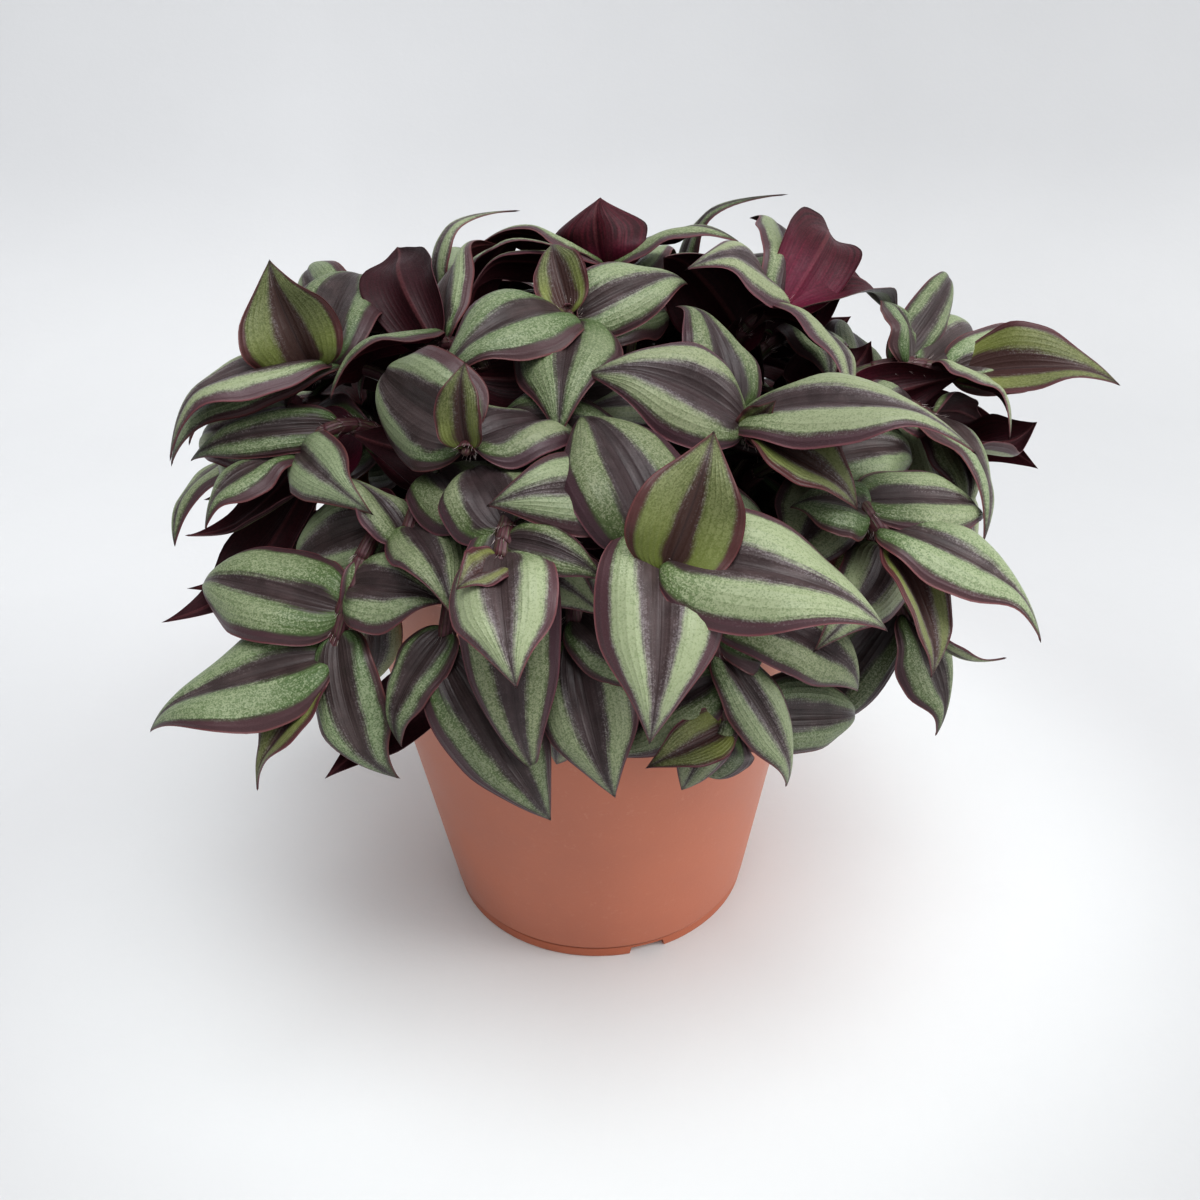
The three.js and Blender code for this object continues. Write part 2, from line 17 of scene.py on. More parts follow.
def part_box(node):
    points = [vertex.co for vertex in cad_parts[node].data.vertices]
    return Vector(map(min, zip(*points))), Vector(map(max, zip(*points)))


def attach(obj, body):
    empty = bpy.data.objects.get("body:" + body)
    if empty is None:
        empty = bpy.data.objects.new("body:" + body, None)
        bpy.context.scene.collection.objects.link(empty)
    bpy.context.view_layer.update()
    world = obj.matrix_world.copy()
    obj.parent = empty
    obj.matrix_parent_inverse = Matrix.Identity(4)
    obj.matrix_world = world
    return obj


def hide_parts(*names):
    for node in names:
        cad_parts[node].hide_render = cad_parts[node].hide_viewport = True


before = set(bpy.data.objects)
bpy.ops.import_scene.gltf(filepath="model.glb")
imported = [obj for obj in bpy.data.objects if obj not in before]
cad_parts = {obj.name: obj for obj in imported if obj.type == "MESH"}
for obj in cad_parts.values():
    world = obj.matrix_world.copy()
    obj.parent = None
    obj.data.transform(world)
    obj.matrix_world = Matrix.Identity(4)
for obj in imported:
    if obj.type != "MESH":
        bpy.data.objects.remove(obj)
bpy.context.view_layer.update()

bl_info = {
    "name": "Potted Tradescantia",
    "version": (1, 0, 0),
    "blender": (4, 5, 0),
    "location": "3D View > Sidebar > Plant",
    "description": "Builds a potted tradescantia with striped leaves around its construction model",
    "category": "Add Mesh",
}

MM = 0.001
UP = np.array([0.0, 0.0, 1.0])
TAU = 2 * math.pi

# The plant is planned in millimetres round the pot's axis, which is not quite the frame's origin.
POT_LOW, POT_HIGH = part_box("pot")
POT_AXIS = np.array([(POT_LOW.x + POT_HIGH.x) / 2, (POT_LOW.y + POT_HIGH.y) / 2, 0.0])
POT_HEIGHT = round((POT_HIGH.z - POT_LOW.z) / MM, 3)


# ---- the plan of the leafy stems ----

SOIL_TOP = 119  # the soil's height at the pot's wall
SOIL_CROWN = 3  # how much higher it is in the middle
FOOT_RADIUS = 44
WALL_SLOPE = math.tan(math.radians(9.4))
WALL_THICKNESS = 1.6
HOLE_DEPTH = 16  # how deep a stem stands in the soil
STEM_BEND_HEIGHT = 50  # how high over the soil a stem heads before it bends over
STEM_BEND_REACH = 0.45  # how far out it has come by then, as a share of its whole reach
BLADE_THICKNESS = 0.9  # of the construction model's blades
OUTWARD_LEAN = 0.8  # how far the leaves' upper faces lean away from the pot's axis


def leaf(at, tip, width, **options):
    """A leaf from its place along the stem, where its point lies and its width.

    Its options are young, turn (of its face, in degrees), arch and hook (how far it bows up and how
    far its point bends down, as shares of its length), stripe (how wide its midrib band is, as a share
    of its own draw) and reversed (its two sides' colours change places).
    """
    return {"at": at, "tip": tip, "width": width, **options}


# The stems that show from the front: where each leaves the soil, where it ends, and its leaves.
PLACED_SHOOTS = [
    {"root": (6, -36), "apex": (15, -88, 148), "leaves": [
        leaf(0.98, (24, -80, 174), 21, young=True),
        leaf(0.94, (56, -98, 144), 25, stripe=0.62),
        leaf(0.89, (-1, -53, 170), 26),
        leaf(0.84, (11, -109, 126), 24),
    ]},
    {"root": (20, -14), "apex": (35, -56, 162), "leaves": [
        leaf(0.98, (56, -67, 153), 15, young=True),
        leaf(0.89, (2, -52, 178), 21),
        leaf(0.84, (77, -68, 161), 22),
        leaf(0.78, (23, -24, 184), 18, hook=0.1),
        leaf(0.94, (38, -58, 171), 7, young=True),
    ]},
    {"root": (-10, -40), "apex": (-17, -84, 148), "leaves": [
        leaf(0.98, (-24, -93, 151), 10, young=True),
        leaf(0.94, (-14, -107, 139), 21),
        leaf(0.84, (-26, -57, 162), 21),
        leaf(0.89, (3, -88, 149), 10),
        leaf(0.78, (-13, -95, 105), 20),
    ]},
    {"root": (-30, -30), "apex": (-57, -74, 115), "leaves": [
        leaf(0.98, (-73, -88, 101), 12, young=True),
        leaf(0.94, (-98, -76, 110), 24, arch=0.05, stripe=0.5),
        leaf(0.84, (-90, -49, 130), 23),
        leaf(0.89, (-45, -87, 99), 16, hook=0.2),
        leaf(0.78, (-29, -72, 134), 20),
    ]},
    {"root": (-15, -26), "apex": (-24, -62, 164), "leaves": [
        leaf(0.98, (-24, -58, 181), 10, young=True),
        leaf(0.89, (-46, -30, 172), 25, turn=-20),
        leaf(0.94, (1, -44, 161), 23),
    ]},
    {"root": (30, -22), "apex": (63, -66, 141), "leaves": [
        leaf(0.98, (72, -83, 121), 16, young=True),
        leaf(0.94, (93, -82, 131), 19),
        leaf(0.89, (43, -60, 150), 17, hook=0.1),
        leaf(0.84, (90, -47, 140), 18),
    ]},
    {"root": (-22, -8), "apex": (-63, -22, 168), "leaves": [
        leaf(0.98, (-69, -20, 192), 22, young=True, turn=60),
        leaf(0.94, (-54, 15, 182), 22, turn=35),
        leaf(0.89, (-95, -37, 162), 18, hook=0.15),
        leaf(0.84, (-99, -28, 153), 16),
    ]},
    {"root": (-2, -8), "apex": (-3, -25, 180), "leaves": [
        leaf(0.98, (-7, -10, 193), 12, young=True),
        leaf(0.94, (-32, -46, 173), 22, arch=0.2),
        leaf(0.84, (-12, -58, 169), 23),
        leaf(0.89, (26, -6, 183), 17),
        leaf(0.78, (-30, 6, 172), 17),
        leaf(0.72, (24, 20, 166), 17),
    ]},
    {"root": (34, -4), "apex": (92, -8, 156), "leaves": [
        leaf(0.94, (121, 0, 162), 19, turn=30),
        leaf(0.98, (122, -25, 163), 19, young=True, turn=50),
        leaf(0.89, (100, -30, 155), 13, hook=0.15),
        leaf(0.78, (75, 5, 173), 17),
        leaf(0.84, (104, 22, 158), 17),
        leaf(0.72, (94, 31, 169), 11, hook=0.12),
    ]},
    {"root": (16, -44), "apex": (28, -86, 108), "leaves": [
        leaf(0.98, (11, -95, 109), 11, young=True),
        leaf(0.89, (-2, -86, 104), 17),
        leaf(0.78, (40, -66, 121), 21),
        leaf(0.94, (18, -88, 95), 11),
        leaf(0.72, (61, -72, 111), 18),
        leaf(0.84, (43, -88, 96), 13),
    ]},
    {"root": (-20, -42), "apex": (-31, -78, 119), "leaves": [
        leaf(0.98, (-58, -90, 102), 14, turn=150),
        leaf(0.94, (-9, -99, 96), 21),
        leaf(0.89, (-43, -86, 109), 12, hook=0.15),
    ]},
    {"root": (-34, -16), "apex": (-67, -34, 150), "leaves": [
        leaf(0.98, (-85, -50, 145), 17),
        leaf(0.89, (-98, -10, 147), 19),
        leaf(0.84, (-88, -45, 135), 18, turn=170),
        leaf(0.78, (-92, -53, 117), 18, turn=170),
        leaf(0.94, (-47, -62, 153), 15),
    ]},
    {"root": (40, -18), "apex": (72, -52, 114), "leaves": [
        leaf(0.98, (82, -64, 91), 19, arch=0.05),
        leaf(0.94, (87, -62, 102), 9, turn=120),
        leaf(0.89, (60, -60, 124), 15, turn=170),
        leaf(0.84, (45, -78, 123), 16),
    ]},
    {"root": (22, 6), "apex": (51, 8, 170), "leaves": [
        leaf(0.98, (64, 44, 176), 20, turn=180, arch=-0.3),
        leaf(0.94, (53, 38, 191), 20),
        leaf(0.89, (28, -15, 191), 18, hook=0.1),
        leaf(0.84, (86, 30, 160), 20, turn=180, arch=-0.3),
        leaf(0.78, (61, -36, 165), 18),
    ]},
    {"root": (2, 12), "apex": (6, 22, 177), "leaves": [
        leaf(0.98, (4, 25, 194), 25, turn=180, reversed=True),
        leaf(0.94, (-26, 23, 187), 17, turn=-20),
        leaf(0.89, (38, 19, 188), 17, turn=20),
        leaf(0.84, (-29, 8, 182), 16, hook=0.15),
        leaf(0.78, (-20, 50, 170), 17),
        leaf(0.72, (27, 48, 168), 17),
    ]},
    {"root": (-12, 2), "apex": (-35, -16, 171), "leaves": [
        leaf(0.98, (-43, 18, 182), 18, turn=180, arch=-0.25),
        leaf(0.94, (-57, -36, 170), 20),
        leaf(0.89, (-20, 20, 183), 16),
    ]},
    {"root": (40, -10), "apex": (85, -22, 148), "leaves": [
        leaf(0.98, (107, -20, 146), 24, turn=160),
        leaf(0.94, (89, -45, 141), 16),
        leaf(0.89, (84, -57, 136), 18),
        leaf(0.84, (62, -40, 160), 17),
    ]},
    {"root": (-23, -26), "apex": (-40, -61, 138), "leaves": [
        leaf(0.94, (-69, -58, 143), 19),
        leaf(0.89, (-27, -84, 141), 16),
    ]},
    {"root": (-6, -50), "apex": (-3, -77, 123), "leaves": [
        leaf(0.98, (-11, -91, 102), 17),
        leaf(0.9, (12, -86, 120), 13),
    ]},
]

# Leaves among and behind the outer ones, by the number of the stem that they grow on. They stand in
# the order in which they find room, so each one keeps clear of those before it.
SHELTERED_LEAVES = {
    4: [
        leaf(0.55, (-69, -42, 133), 20, turn=-20),
        leaf(0.7, (-51, -52, 99), 18, turn=-103),
        leaf(0.66, (-69, -44, 109), 20, turn=142),
        leaf(0.45, (-85, -30, 112), 20, turn=137),
    ],
    9: [
        leaf(0.45, (68, -2, 173), 20, turn=115, arch=0.08),
        leaf(0.4, (64, 8, 171), 22, turn=118, arch=0.08),
    ],
    10: [
        leaf(0.975, (19, -84, 93), 17, arch=0.1),
        leaf(0.965, (65, -58, 102), 17, turn=33, arch=0.05),
        leaf(0.945, (60, -60, 83), 16, turn=17, arch=0.1),
    ],
    12: [
        leaf(0.6, (-94, -22, 136), 18, turn=133),
        leaf(0.5, (-84, -10, 138), 20, turn=-77),
        leaf(0.7, (-101, -20, 140), 16, turn=-58),
    ],
    13: [
        leaf(0.95, (53, -66, 78), 19, turn=23),
        leaf(0.8, (62, -46, 98), 18, turn=95),
        leaf(0.55, (73, -14, 101), 20, turn=86),
    ],
    14: [
        leaf(0.62, (29, -2, 192), 24, turn=62, arch=0.08),
        leaf(0.48, (43, 8, 184), 24, turn=81, arch=0.08),
    ],
    17: [
        leaf(0.5, (85, 14, 163), 20, turn=204, arch=0.06),
        leaf(0.93, (111, -8, 125), 20, turn=-92),
    ],
    20: [
        leaf(0.7, (106, -2, 108), 20, turn=-85),
        leaf(0.8, (114, 0, 91), 20, turn=98),
        leaf(0.6, (96, 0, 89), 20, turn=92),
        leaf(0.5, (84, 40, 156), 22, turn=-12, arch=0.06),
    ],
    21: [
        leaf(0.8, (84, 75, 151), 24, turn=-139, arch=0.06),
    ],
    19: [
        leaf(0.7, (-16, -78, 97), 22, turn=-15),
        leaf(0.95, (10, -84, 97), 20, turn=39),
    ],
    25: [
        leaf(0.7, (-108, 0, 98), 18, turn=-78, arch=0.08),
        leaf(0.8, (-107, 10, 107), 20, turn=88),
        leaf(0.7, (-101, 4, 93), 20, turn=87),
    ],
    26: [
        leaf(0.72, (77, 38, 173), 24, turn=-135, arch=0.08),
        leaf(0.5, (69, 20, 172), 22, turn=-48, arch=0.08),
    ],
    27: [
        leaf(0.97, (46, 40, 185), 10, turn=131, arch=0.2, hook=0.3),
    ],
    32: [
        leaf(0.58, (-14, 18, 194), 12, turn=2, hook=0.3, arch=0.15),
        leaf(0.7, (-25, 24, 195), 9, turn=44, arch=0.25, hook=0.3),
    ],
}

# A placed stem with fewer leaves than a full one has one more, lower down in the shade.
FULL_STEM = 5
SHADE_LEAF = {"at": 0.58, "length": 34, "width": 20, "spread": 80}

# Stems that follow a rule stand in rings, spaced over a range of headings in degrees.
RINGS = [
    {"from": 5, "to": 174, "count": 6, "reach": 91, "height": 122, "rooted": 44},
    {"from": 28, "to": 169, "count": 5, "reach": 70, "height": 152, "rooted": 33},
    {"from": 70, "to": 150, "count": 2, "reach": 40, "height": 165, "rooted": 22},
]
RING_LEAVES = [
    {"at": 0.98, "length": 24, "width": 14, "spread": 14, "young": True},
    {"at": 0.93, "length": 38, "width": 21, "spread": 62},
    {"at": 0.85, "length": 44, "width": 23, "spread": 74},
    {"at": 0.75, "length": 45, "width": 23, "spread": 82},
    {"at": 0.62, "length": 42, "width": 21, "spread": 88},
]

# The bends that a leaf may take to clear its neighbours: its pitch, yaw and roll in degrees, and a
# share of its length. They are tried from the mildest on.
TURNS = [0, 10, -10, 20, -20, 32, -32]
ROLLS = [0, 22, -22]
SCALES = [1, 0.88, 0.75]
STRAIGHT = (0, 0, 0, 1)


def bend_cost(bend):
    pitch, yaw, roll, scale = bend
    return abs(pitch) + abs(yaw) + 0.5 * abs(roll) + 160 * (1 - scale)


BENDS = [(p, y, r, s) for s in SCALES for r in ROLLS for y in TURNS for p in TURNS]
BENDS.sort(key=bend_cost)


# ---- small helpers ----


def draw(*keys):
    """A repeatable draw from 0 to 1. The first key is what is drawn, and the others whose it is."""
    word = 0xFFFFFFFF
    a = 2166136261
    for key in keys:
        a = ((a ^ (key + 1)) * 16777619) & word
    a = ((a ^ (a >> 15)) * (a | 1)) & word
    a = (a ^ (a + (((a ^ (a >> 7)) * (a | 61)) & word))) & word
    return (a ^ (a >> 14)) / 4294967296


def spread(reach, *keys):
    """A repeatable draw up to the reach on either side of 0."""
    return (2 * draw(*keys) - 1) * reach


def mix(a, b, t):
    return a + (b - a) * t


def unit(v):
    return v / max(np.linalg.norm(v), 1e-9)


def turned(v, axis, degrees):
    """v turned about a unit axis."""
    angle = math.radians(degrees)
    across = np.cross(axis, v)
    return v * math.cos(angle) + across * math.sin(angle) + axis * np.dot(axis, v) * (1 - math.cos(angle))


def smooth(x):
    x = np.clip(x, 0, 1)
    return x * x * (3 - 2 * x)


def placed(points):
    """Plan points in millimetres as metres in the shared frame."""
    return np.asarray(points) * MM + POT_AXIS


class Sheet:
    """Gathers points, faces and per-point values of several surfaces for one mesh."""

    def __init__(self):
        self.points = []
        self.faces = []
        self.finishes = []
        self.values = {}
        self.count = 0

    def add(self, points, faces, finish=0, **values):
        points = np.asarray(points).reshape(-1, 3)
        self.points.append(points)
        self.faces += [tuple(i + self.count for i in face) for face in faces]
        self.finishes += list(np.broadcast_to(finish, len(faces)))
        for name, value in values.items():
            value = np.broadcast_to(value, len(points)).astype(np.float32)
            self.values.setdefault(name, []).append(value)
        self.count += len(points)

    def join(self, faces, finish):
        """Adds faces between points that are already there."""
        self.faces += faces
        self.finishes += [finish] * len(faces)

    def build(self, name, materials, nodes, slot):
        """The finished piece, riding on the body and standing for its construction nodes."""
        mesh = bpy.data.meshes.new(name)
        mesh.from_pydata(placed(np.vstack(self.points)).tolist(), [], self.faces)
        mesh.polygons.foreach_set("material_index", np.array(self.finishes, np.int32))
        mesh.polygons.foreach_set("use_smooth", np.ones(len(self.faces), bool))
        corners = np.empty(len(mesh.loops), np.int32)
        mesh.loops.foreach_get("vertex_index", corners)
        values = {key: np.concatenate(parts) for key, parts in self.values.items()}
        if "u" in values:
            places = np.stack([values.pop("u")[corners], values.pop("v")[corners]], axis=1)
            layer = mesh.uv_layers.new(name="leaf")
            layer.data.foreach_set("uv", places.ravel())
        for key, value in values.items():
            mesh.attributes.new(key, "FLOAT", "POINT").data.foreach_set("value", value)
        for material in materials:
            mesh.materials.append(material)
        mesh.validate()
        mesh.update()
        piece = bpy.data.objects.new(name, mesh)
        bpy.context.scene.collection.objects.link(piece)
        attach(piece, "root")
        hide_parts(*nodes)
        return piece


def grid_faces(rows, columns, closed=False, flip=False):
    """Faces between rows of points, with the last column joined to the first if closed."""
    faces = []
    for i in range(rows - 1):
        for k in range(columns if closed else columns - 1):
            a = i * columns + k
            b = i * columns + (k + 1) % columns
            face = (a, b, b + columns, a + columns)
            faces.append(face[::-1] if flip else face)
    return faces


def fan_faces(centre, first, count, flip=False):
    """Triangles between a middle point and the closed ring of points that begins at first."""
    faces = [(centre, first + k, first + (k + 1) % count) for k in range(count)]
    return [face[::-1] for face in faces] if flip else faces


# ---- materials ----


class Nodes:
    """Adds shader nodes to one tree, each wired and laid out as it is made."""

    COLUMN_WIDTH = 200
    ROW_HEIGHT = 220
    ROWS = 6

    def __init__(self, tree):
        self.tree = tree

    def add(self, kind, inputs=None, **settings):
        node = self.tree.nodes.new("ShaderNode" + kind)
        column, row = divmod(len(self.tree.nodes), self.ROWS)
        node.location = (self.COLUMN_WIDTH * column, -self.ROW_HEIGHT * row)
        for key, value in settings.items():
            setattr(node, key, value)
        for key, value in (inputs or {}).items():
            self.feed(node.inputs[key], value)
        return node

    def feed(self, socket, value):
        """Links another node's output to the socket, or sets the socket's own value."""
        if isinstance(value, bpy.types.NodeSocket):
            self.tree.links.new(value, socket)
        elif socket.type == "RGBA":
            socket.default_value = (*value, 1.0)
        else:
            socket.default_value = value

    def math(self, operation, *values, clamp=False):
        inputs = dict(enumerate(values))
        return self.add("Math", inputs, operation=operation, use_clamp=clamp).outputs[0]

    def plus(self, a, b):
        return self.math("ADD", a, b)

    def minus(self, a, b, clamp=False):
        return self.math("SUBTRACT", a, b, clamp=clamp)

    def times(self, a, b):
        return self.math("MULTIPLY", a, b)

    def times_plus(self, a, b, c):
        return self.math("MULTIPLY_ADD", a, b, c)

    def ramp(self, value, low, high, to_low=0.0, to_high=1.0, soft=True):
        """Turns the stretch from low to high into one from to_low to to_high, and stays within it."""
        kind = "SMOOTHSTEP" if soft else "LINEAR"
        inputs = {"Value": value, "From Min": low, "From Max": high, "To Min": to_low, "To Max": to_high}
        return self.add("MapRange", inputs, interpolation_type=kind).outputs["Result"]

    def blend(self, share, a, b):
        """The colour a where the share is 0, and b where it is 1."""
        return self.add("Mix", {0: share, 6: a, 7: b}, data_type="RGBA").outputs[2]

    def attribute(self, name):
        return self.add("Attribute", attribute_name=name).outputs["Fac"]

    def place(self):
        """The place on the object in metres, which keeps every pattern at its real size."""
        return self.add("TexCoord").outputs["Object"]

    def group(self, name, **values):
        """A shared group's outputs; the group is built the first time that it is asked for."""
        tree = bpy.data.node_groups.get(name) or SHARED_GROUPS[name]()
        inputs = {key.title(): value for key, value in values.items()}
        return self.add("Group", inputs, node_tree=tree).outputs


def new_group(name, inputs, outputs):
    """Begins a shader group whose sockets are colours or numbers; its nodes and what it is given."""
    tree = bpy.data.node_groups.new(name, "ShaderNodeTree")
    for title, value in inputs.items():
        kind = "NodeSocketColor" if title == "Color" else "NodeSocketFloat"
        tree.interface.new_socket(title, in_out="INPUT", socket_type=kind).default_value = value
    for title in outputs:
        kind = "NodeSocketColor" if title == "Color" else "NodeSocketFloat"
        tree.interface.new_socket(title, in_out="OUTPUT", socket_type=kind)
    return Nodes(tree), tree.nodes.new("NodeGroupInput").outputs


def close_group(nodes, **results):
    """Wires what the group puts out, and gives back the finished group."""
    out = nodes.tree.nodes.new("NodeGroupOutput")
    for key, value in results.items():
        nodes.feed(out.inputs[key.title()], value)
    return nodes.tree


def grain_group():
    """Fine grain at a real size: cells for pearly or gritty specks, and soft mottling."""
    nodes, given = new_group("Fine Grain", {"Scale": 1000.0}, ["Cells", "Mottle"])
    place = nodes.place()
    cells = nodes.add("TexVoronoi", {"Vector": place, "Scale": given["Scale"]}, feature="F1")
    tone = nodes.add("SeparateColor", {"Color": cells.outputs["Color"]}).outputs["Red"]
    coarse = nodes.times(given["Scale"], 0.22)
    mottle = nodes.add("TexNoise", {"Vector": place, "Scale": coarse, "Detail": 4.0, "Roughness": 0.6})
    return close_group(nodes, cells=tone, mottle=mottle.outputs["Fac"])


def veins_group():
    """Lines that run along a blade, sheath or stem, closing in on its point."""
    nodes, given = new_group("Long Veins", {"Count": 9.0, "Seed": 0.0}, ["Lines", "Streaks"])
    blade = nodes.add("UVMap", uv_map="leaf").outputs["UV"]
    split = nodes.add("SeparateXYZ", {"Vector": blade}).outputs
    across = nodes.times(split["Y"], given["Count"])
    wave = nodes.math("SINE", nodes.times(across, TAU))
    lines = nodes.math("POWER", nodes.times_plus(wave, 0.5, 0.5), 3.0)
    stretched = {
        "X": nodes.times(split["X"], 2.2),
        "Y": nodes.times(across, 3.0),
        "Z": nodes.times(given["Seed"], 37.0),
    }
    streaks = {"Vector": nodes.add("CombineXYZ", stretched).outputs[0], "Scale": 1.0, "Detail": 3.0}
    return close_group(nodes, lines=lines, streaks=nodes.add("TexNoise", streaks).outputs["Fac"])


def skin_group():
    """Fine dark and pale flecks over a colour, and a mottled sheen."""
    inputs = {
        "Color": (0.1, 0.1, 0.1, 1.0),
        "Cells": 0.5,
        "Mottle": 0.5,
        "Darkest": 0.8,
        "Palest": 1.2,
        "Glossiest": 0.4,
        "Dullest": 0.5,
    }
    nodes, given = new_group("Flecked Skin", inputs, ["Color", "Roughness"])
    fleck = nodes.ramp(given["Cells"], 0.0, 1.0, given["Darkest"], given["Palest"], soft=False)
    varied = nodes.add("HueSaturation", {"Color": given["Color"], "Value": fleck})
    rough = nodes.ramp(given["Mottle"], 0.2, 0.8, given["Glossiest"], given["Dullest"])
    return close_group(nodes, color=varied.outputs["Color"], roughness=rough)


SHARED_GROUPS = {"Fine Grain": grain_group, "Long Veins": veins_group, "Flecked Skin": skin_group}


def new_material(name, **constants):
    """A material with its shader, whose unchanging values are set on its own sockets."""
    material = bpy.data.materials.new(name)
    material.use_nodes = True
    shader = material.node_tree.nodes["Principled BSDF"]
    for key, value in constants.items():
        shader.inputs[key.replace("_", " ")].default_value = value
    return material, Nodes(material.node_tree), shader


def set_bump(nodes, shader, height, distance):
    bump = nodes.add("Bump", {"Height": height, "Distance": distance})
    nodes.feed(shader.inputs["Normal"], bump.outputs["Normal"])


def finish_skin(nodes, shader, face, grain, **reach):
    """Gives a skin its flecked colour and its sheen; reach tells how far both go either way."""
    skin = nodes.group("Flecked Skin", color=face, cells=grain["Cells"], mottle=grain["Mottle"], **reach)
    nodes.feed(shader.inputs["Base Color"], skin["Color"])
    nodes.feed(shader.inputs["Roughness"], skin["Roughness"])


def leaf_upper_material(looks):
    """Silvery bands between a purple midrib and purple margins, with a pearly grain."""
    material, nodes, shader = new_material("leaf_upper", Specular_IOR_Level=0.42)
    young = nodes.attribute("young")
    tone = nodes.attribute("tone")
    along = nodes.attribute("along")
    shade = nodes.attribute("shade")
    from_margin = nodes.attribute("from_margin")
    veins = nodes.group("Long Veins", count=looks.veins, seed=tone)
    pearl = nodes.group("Fine Grain", scale=1 / looks.pearl_size)
    coarse = nodes.group("Fine Grain", scale=0.25 / looks.pearl_size)
    uneven = nodes.math("FRACT", nodes.times(tone, 7.3))

    # The band's two sides wander with the veins, and the pearly grain reaches a little past them.
    soft = nodes.times_plus(coarse["Mottle"], 1.5, -0.75)
    push = nodes.times_plus(veins["Streaks"], 1.5, nodes.minus(soft, 0.75))
    beside = nodes.plus(nodes.attribute("from_midrib"), push)
    inside = nodes.times_plus(push, 0.7, from_margin)
    band = nodes.times(nodes.ramp(beside, -0.8, 0.7), nodes.ramp(inside, -0.5, 0.5))
    pearly = nodes.times(nodes.ramp(beside, -3.0, 1.5), nodes.ramp(inside, -1.2, 0.9))

    # Grains and a thin veil of the same pale colour cover it, less near the leaf's foot, on plainer leaves
    # and, as painted shade, on leaves deep in the plant.
    foot = nodes.ramp(along, 0.4, 0.0, 0.0, 0.45)
    plain = nodes.times_plus(shade, 0.2, nodes.ramp(uneven, 1.0, 0.0, 0.0, 0.3))
    density = nodes.minus(nodes.times(pearly, 0.95), nodes.plus(foot, plain))
    density = nodes.plus(density, nodes.times_plus(veins["Streaks"], 0.5, -0.25))
    grains = nodes.ramp(nodes.plus(pearl["Cells"], density), 0.65, 1.5)
    grains = nodes.times(grains, nodes.ramp(pearly, 0.0, 0.7, 0.3, 0.95))
    veil = nodes.minus(nodes.ramp(pearly, 0.1, 1.0, 0.0, 0.55), nodes.times(foot, 0.8))
    veil = nodes.minus(veil, plain, clamp=True)
    cover = nodes.times_plus(grains, nodes.minus(1.0, veil), veil)

    # Under that the blade is green, and purple along its midrib and margins.
    green = nodes.blend(young, looks.green, looks.young_green)
    pale = nodes.blend(young, looks.silver, looks.young_pale)
    pale = nodes.blend(band, looks.pewter, pale)
    streaked = nodes.ramp(veins["Streaks"], 0.25, 0.75, 0.45)
    depth = nodes.times(nodes.ramp(coarse["Mottle"], 0.3, 0.7), streaked)
    purple = nodes.blend(depth, looks.plum, looks.mauve)
    purple = nodes.blend(nodes.times(veins["Lines"], 0.2), purple, looks.plum)
    purple = nodes.blend(young, purple, looks.young_midrib)
    rim = nodes.blend(young, looks.margin, looks.young_margin)
    purple = nodes.blend(nodes.ramp(from_margin, 0.6, -0.6), purple, rim)
    face = nodes.blend(band, purple, green)
    face = nodes.blend(cover, face, pale)
    glow = nodes.times(nodes.ramp(along, 0.7, 0.0, 0.0, 0.6), young)
    face = nodes.blend(nodes.times(glow, band), face, looks.young_glow)

    # A thin russet line runs along the very edge, and a fine dark line of painted shade lies in the midrib's
    # crease.
    edge = nodes.ramp(nodes.attribute("from_edge"), 0.42, 0.12)
    face = nodes.blend(nodes.times(edge, 0.8), face, looks.edge)
    crease_shade = nodes.ramp(nodes.attribute("off_midrib"), 0.42, 0.1)
    face = nodes.blend(nodes.times(crease_shade, 0.5), face, looks.plum)
    # Each leaf's hue and brightness vary a little at random, and painted shade darkens leaves deep in the
    # plant to under a third.
    hue = nodes.ramp(tone, 0.0, 1.0, 0.485, 0.512, soft=False)
    lit = nodes.ramp(shade, 0.0, 1.0, 1.03, 0.3, soft=False)
    lit = nodes.times(lit, nodes.ramp(uneven, 0.0, 1.0, 0.9, 1.12, soft=False))
    varied = nodes.add("HueSaturation", {"Color": face, "Hue": hue, "Value": lit})
    nodes.feed(shader.inputs["Base Color"], varied.outputs["Color"])

    rough = nodes.ramp(band, 0.0, 1.0, 0.36, 0.42, soft=False)
    nodes.feed(shader.inputs["Roughness"], nodes.times_plus(pearl["Cells"], 0.08, rough))
    relief = nodes.times_plus(pearl["Cells"], 0.6, nodes.times(veins["Lines"], 0.6))
    relief = nodes.times_plus(coarse["Mottle"], 0.9, relief)
    set_bump(nodes, shader, relief, 0.00011)
    return material


def leaf_under_material(looks):
    """Deep maroon with fine raised veins and a satin finish."""
    material, nodes, shader = new_material("leaf_under", Specular_IOR_Level=0.25)
    tone = nodes.attribute("tone")
    veins = nodes.group("Long Veins", count=looks.veins, seed=tone)
    grain = nodes.group("Fine Grain", scale=0.7 / looks.pearl_size)
    red = nodes.times(nodes.ramp(veins["Streaks"], 0.25, 0.8), nodes.ramp(tone, 0.0, 1.0, 0.15, 0.75))
    face = nodes.blend(red, looks.maroon, looks.magenta)
    face = nodes.blend(nodes.times(veins["Lines"], 0.06), face, looks.magenta)
    keel = nodes.ramp(nodes.attribute("off_midrib"), 0.7, 0.15)
    face = nodes.blend(nodes.times(keel, 0.3), face, looks.edge)
    face = nodes.blend(nodes.times(nodes.attribute("young"), 0.6), face, looks.magenta)
    foot = nodes.ramp(nodes.attribute("along"), 0.5, 0.0, 0.0, 0.5)
    flush = nodes.times(foot, nodes.ramp(tone, 0.2, 0.9))
    face = nodes.blend(flush, face, looks.flush)
    finish_skin(nodes, shader, face, grain, darkest=0.82, palest=1.2, glossiest=0.42, dullest=0.56)
    relief = nodes.times_plus(grain["Cells"], 0.3, nodes.times(veins["Lines"], 0.35))
    set_bump(nodes, shader, relief, 0.0001)
    return material


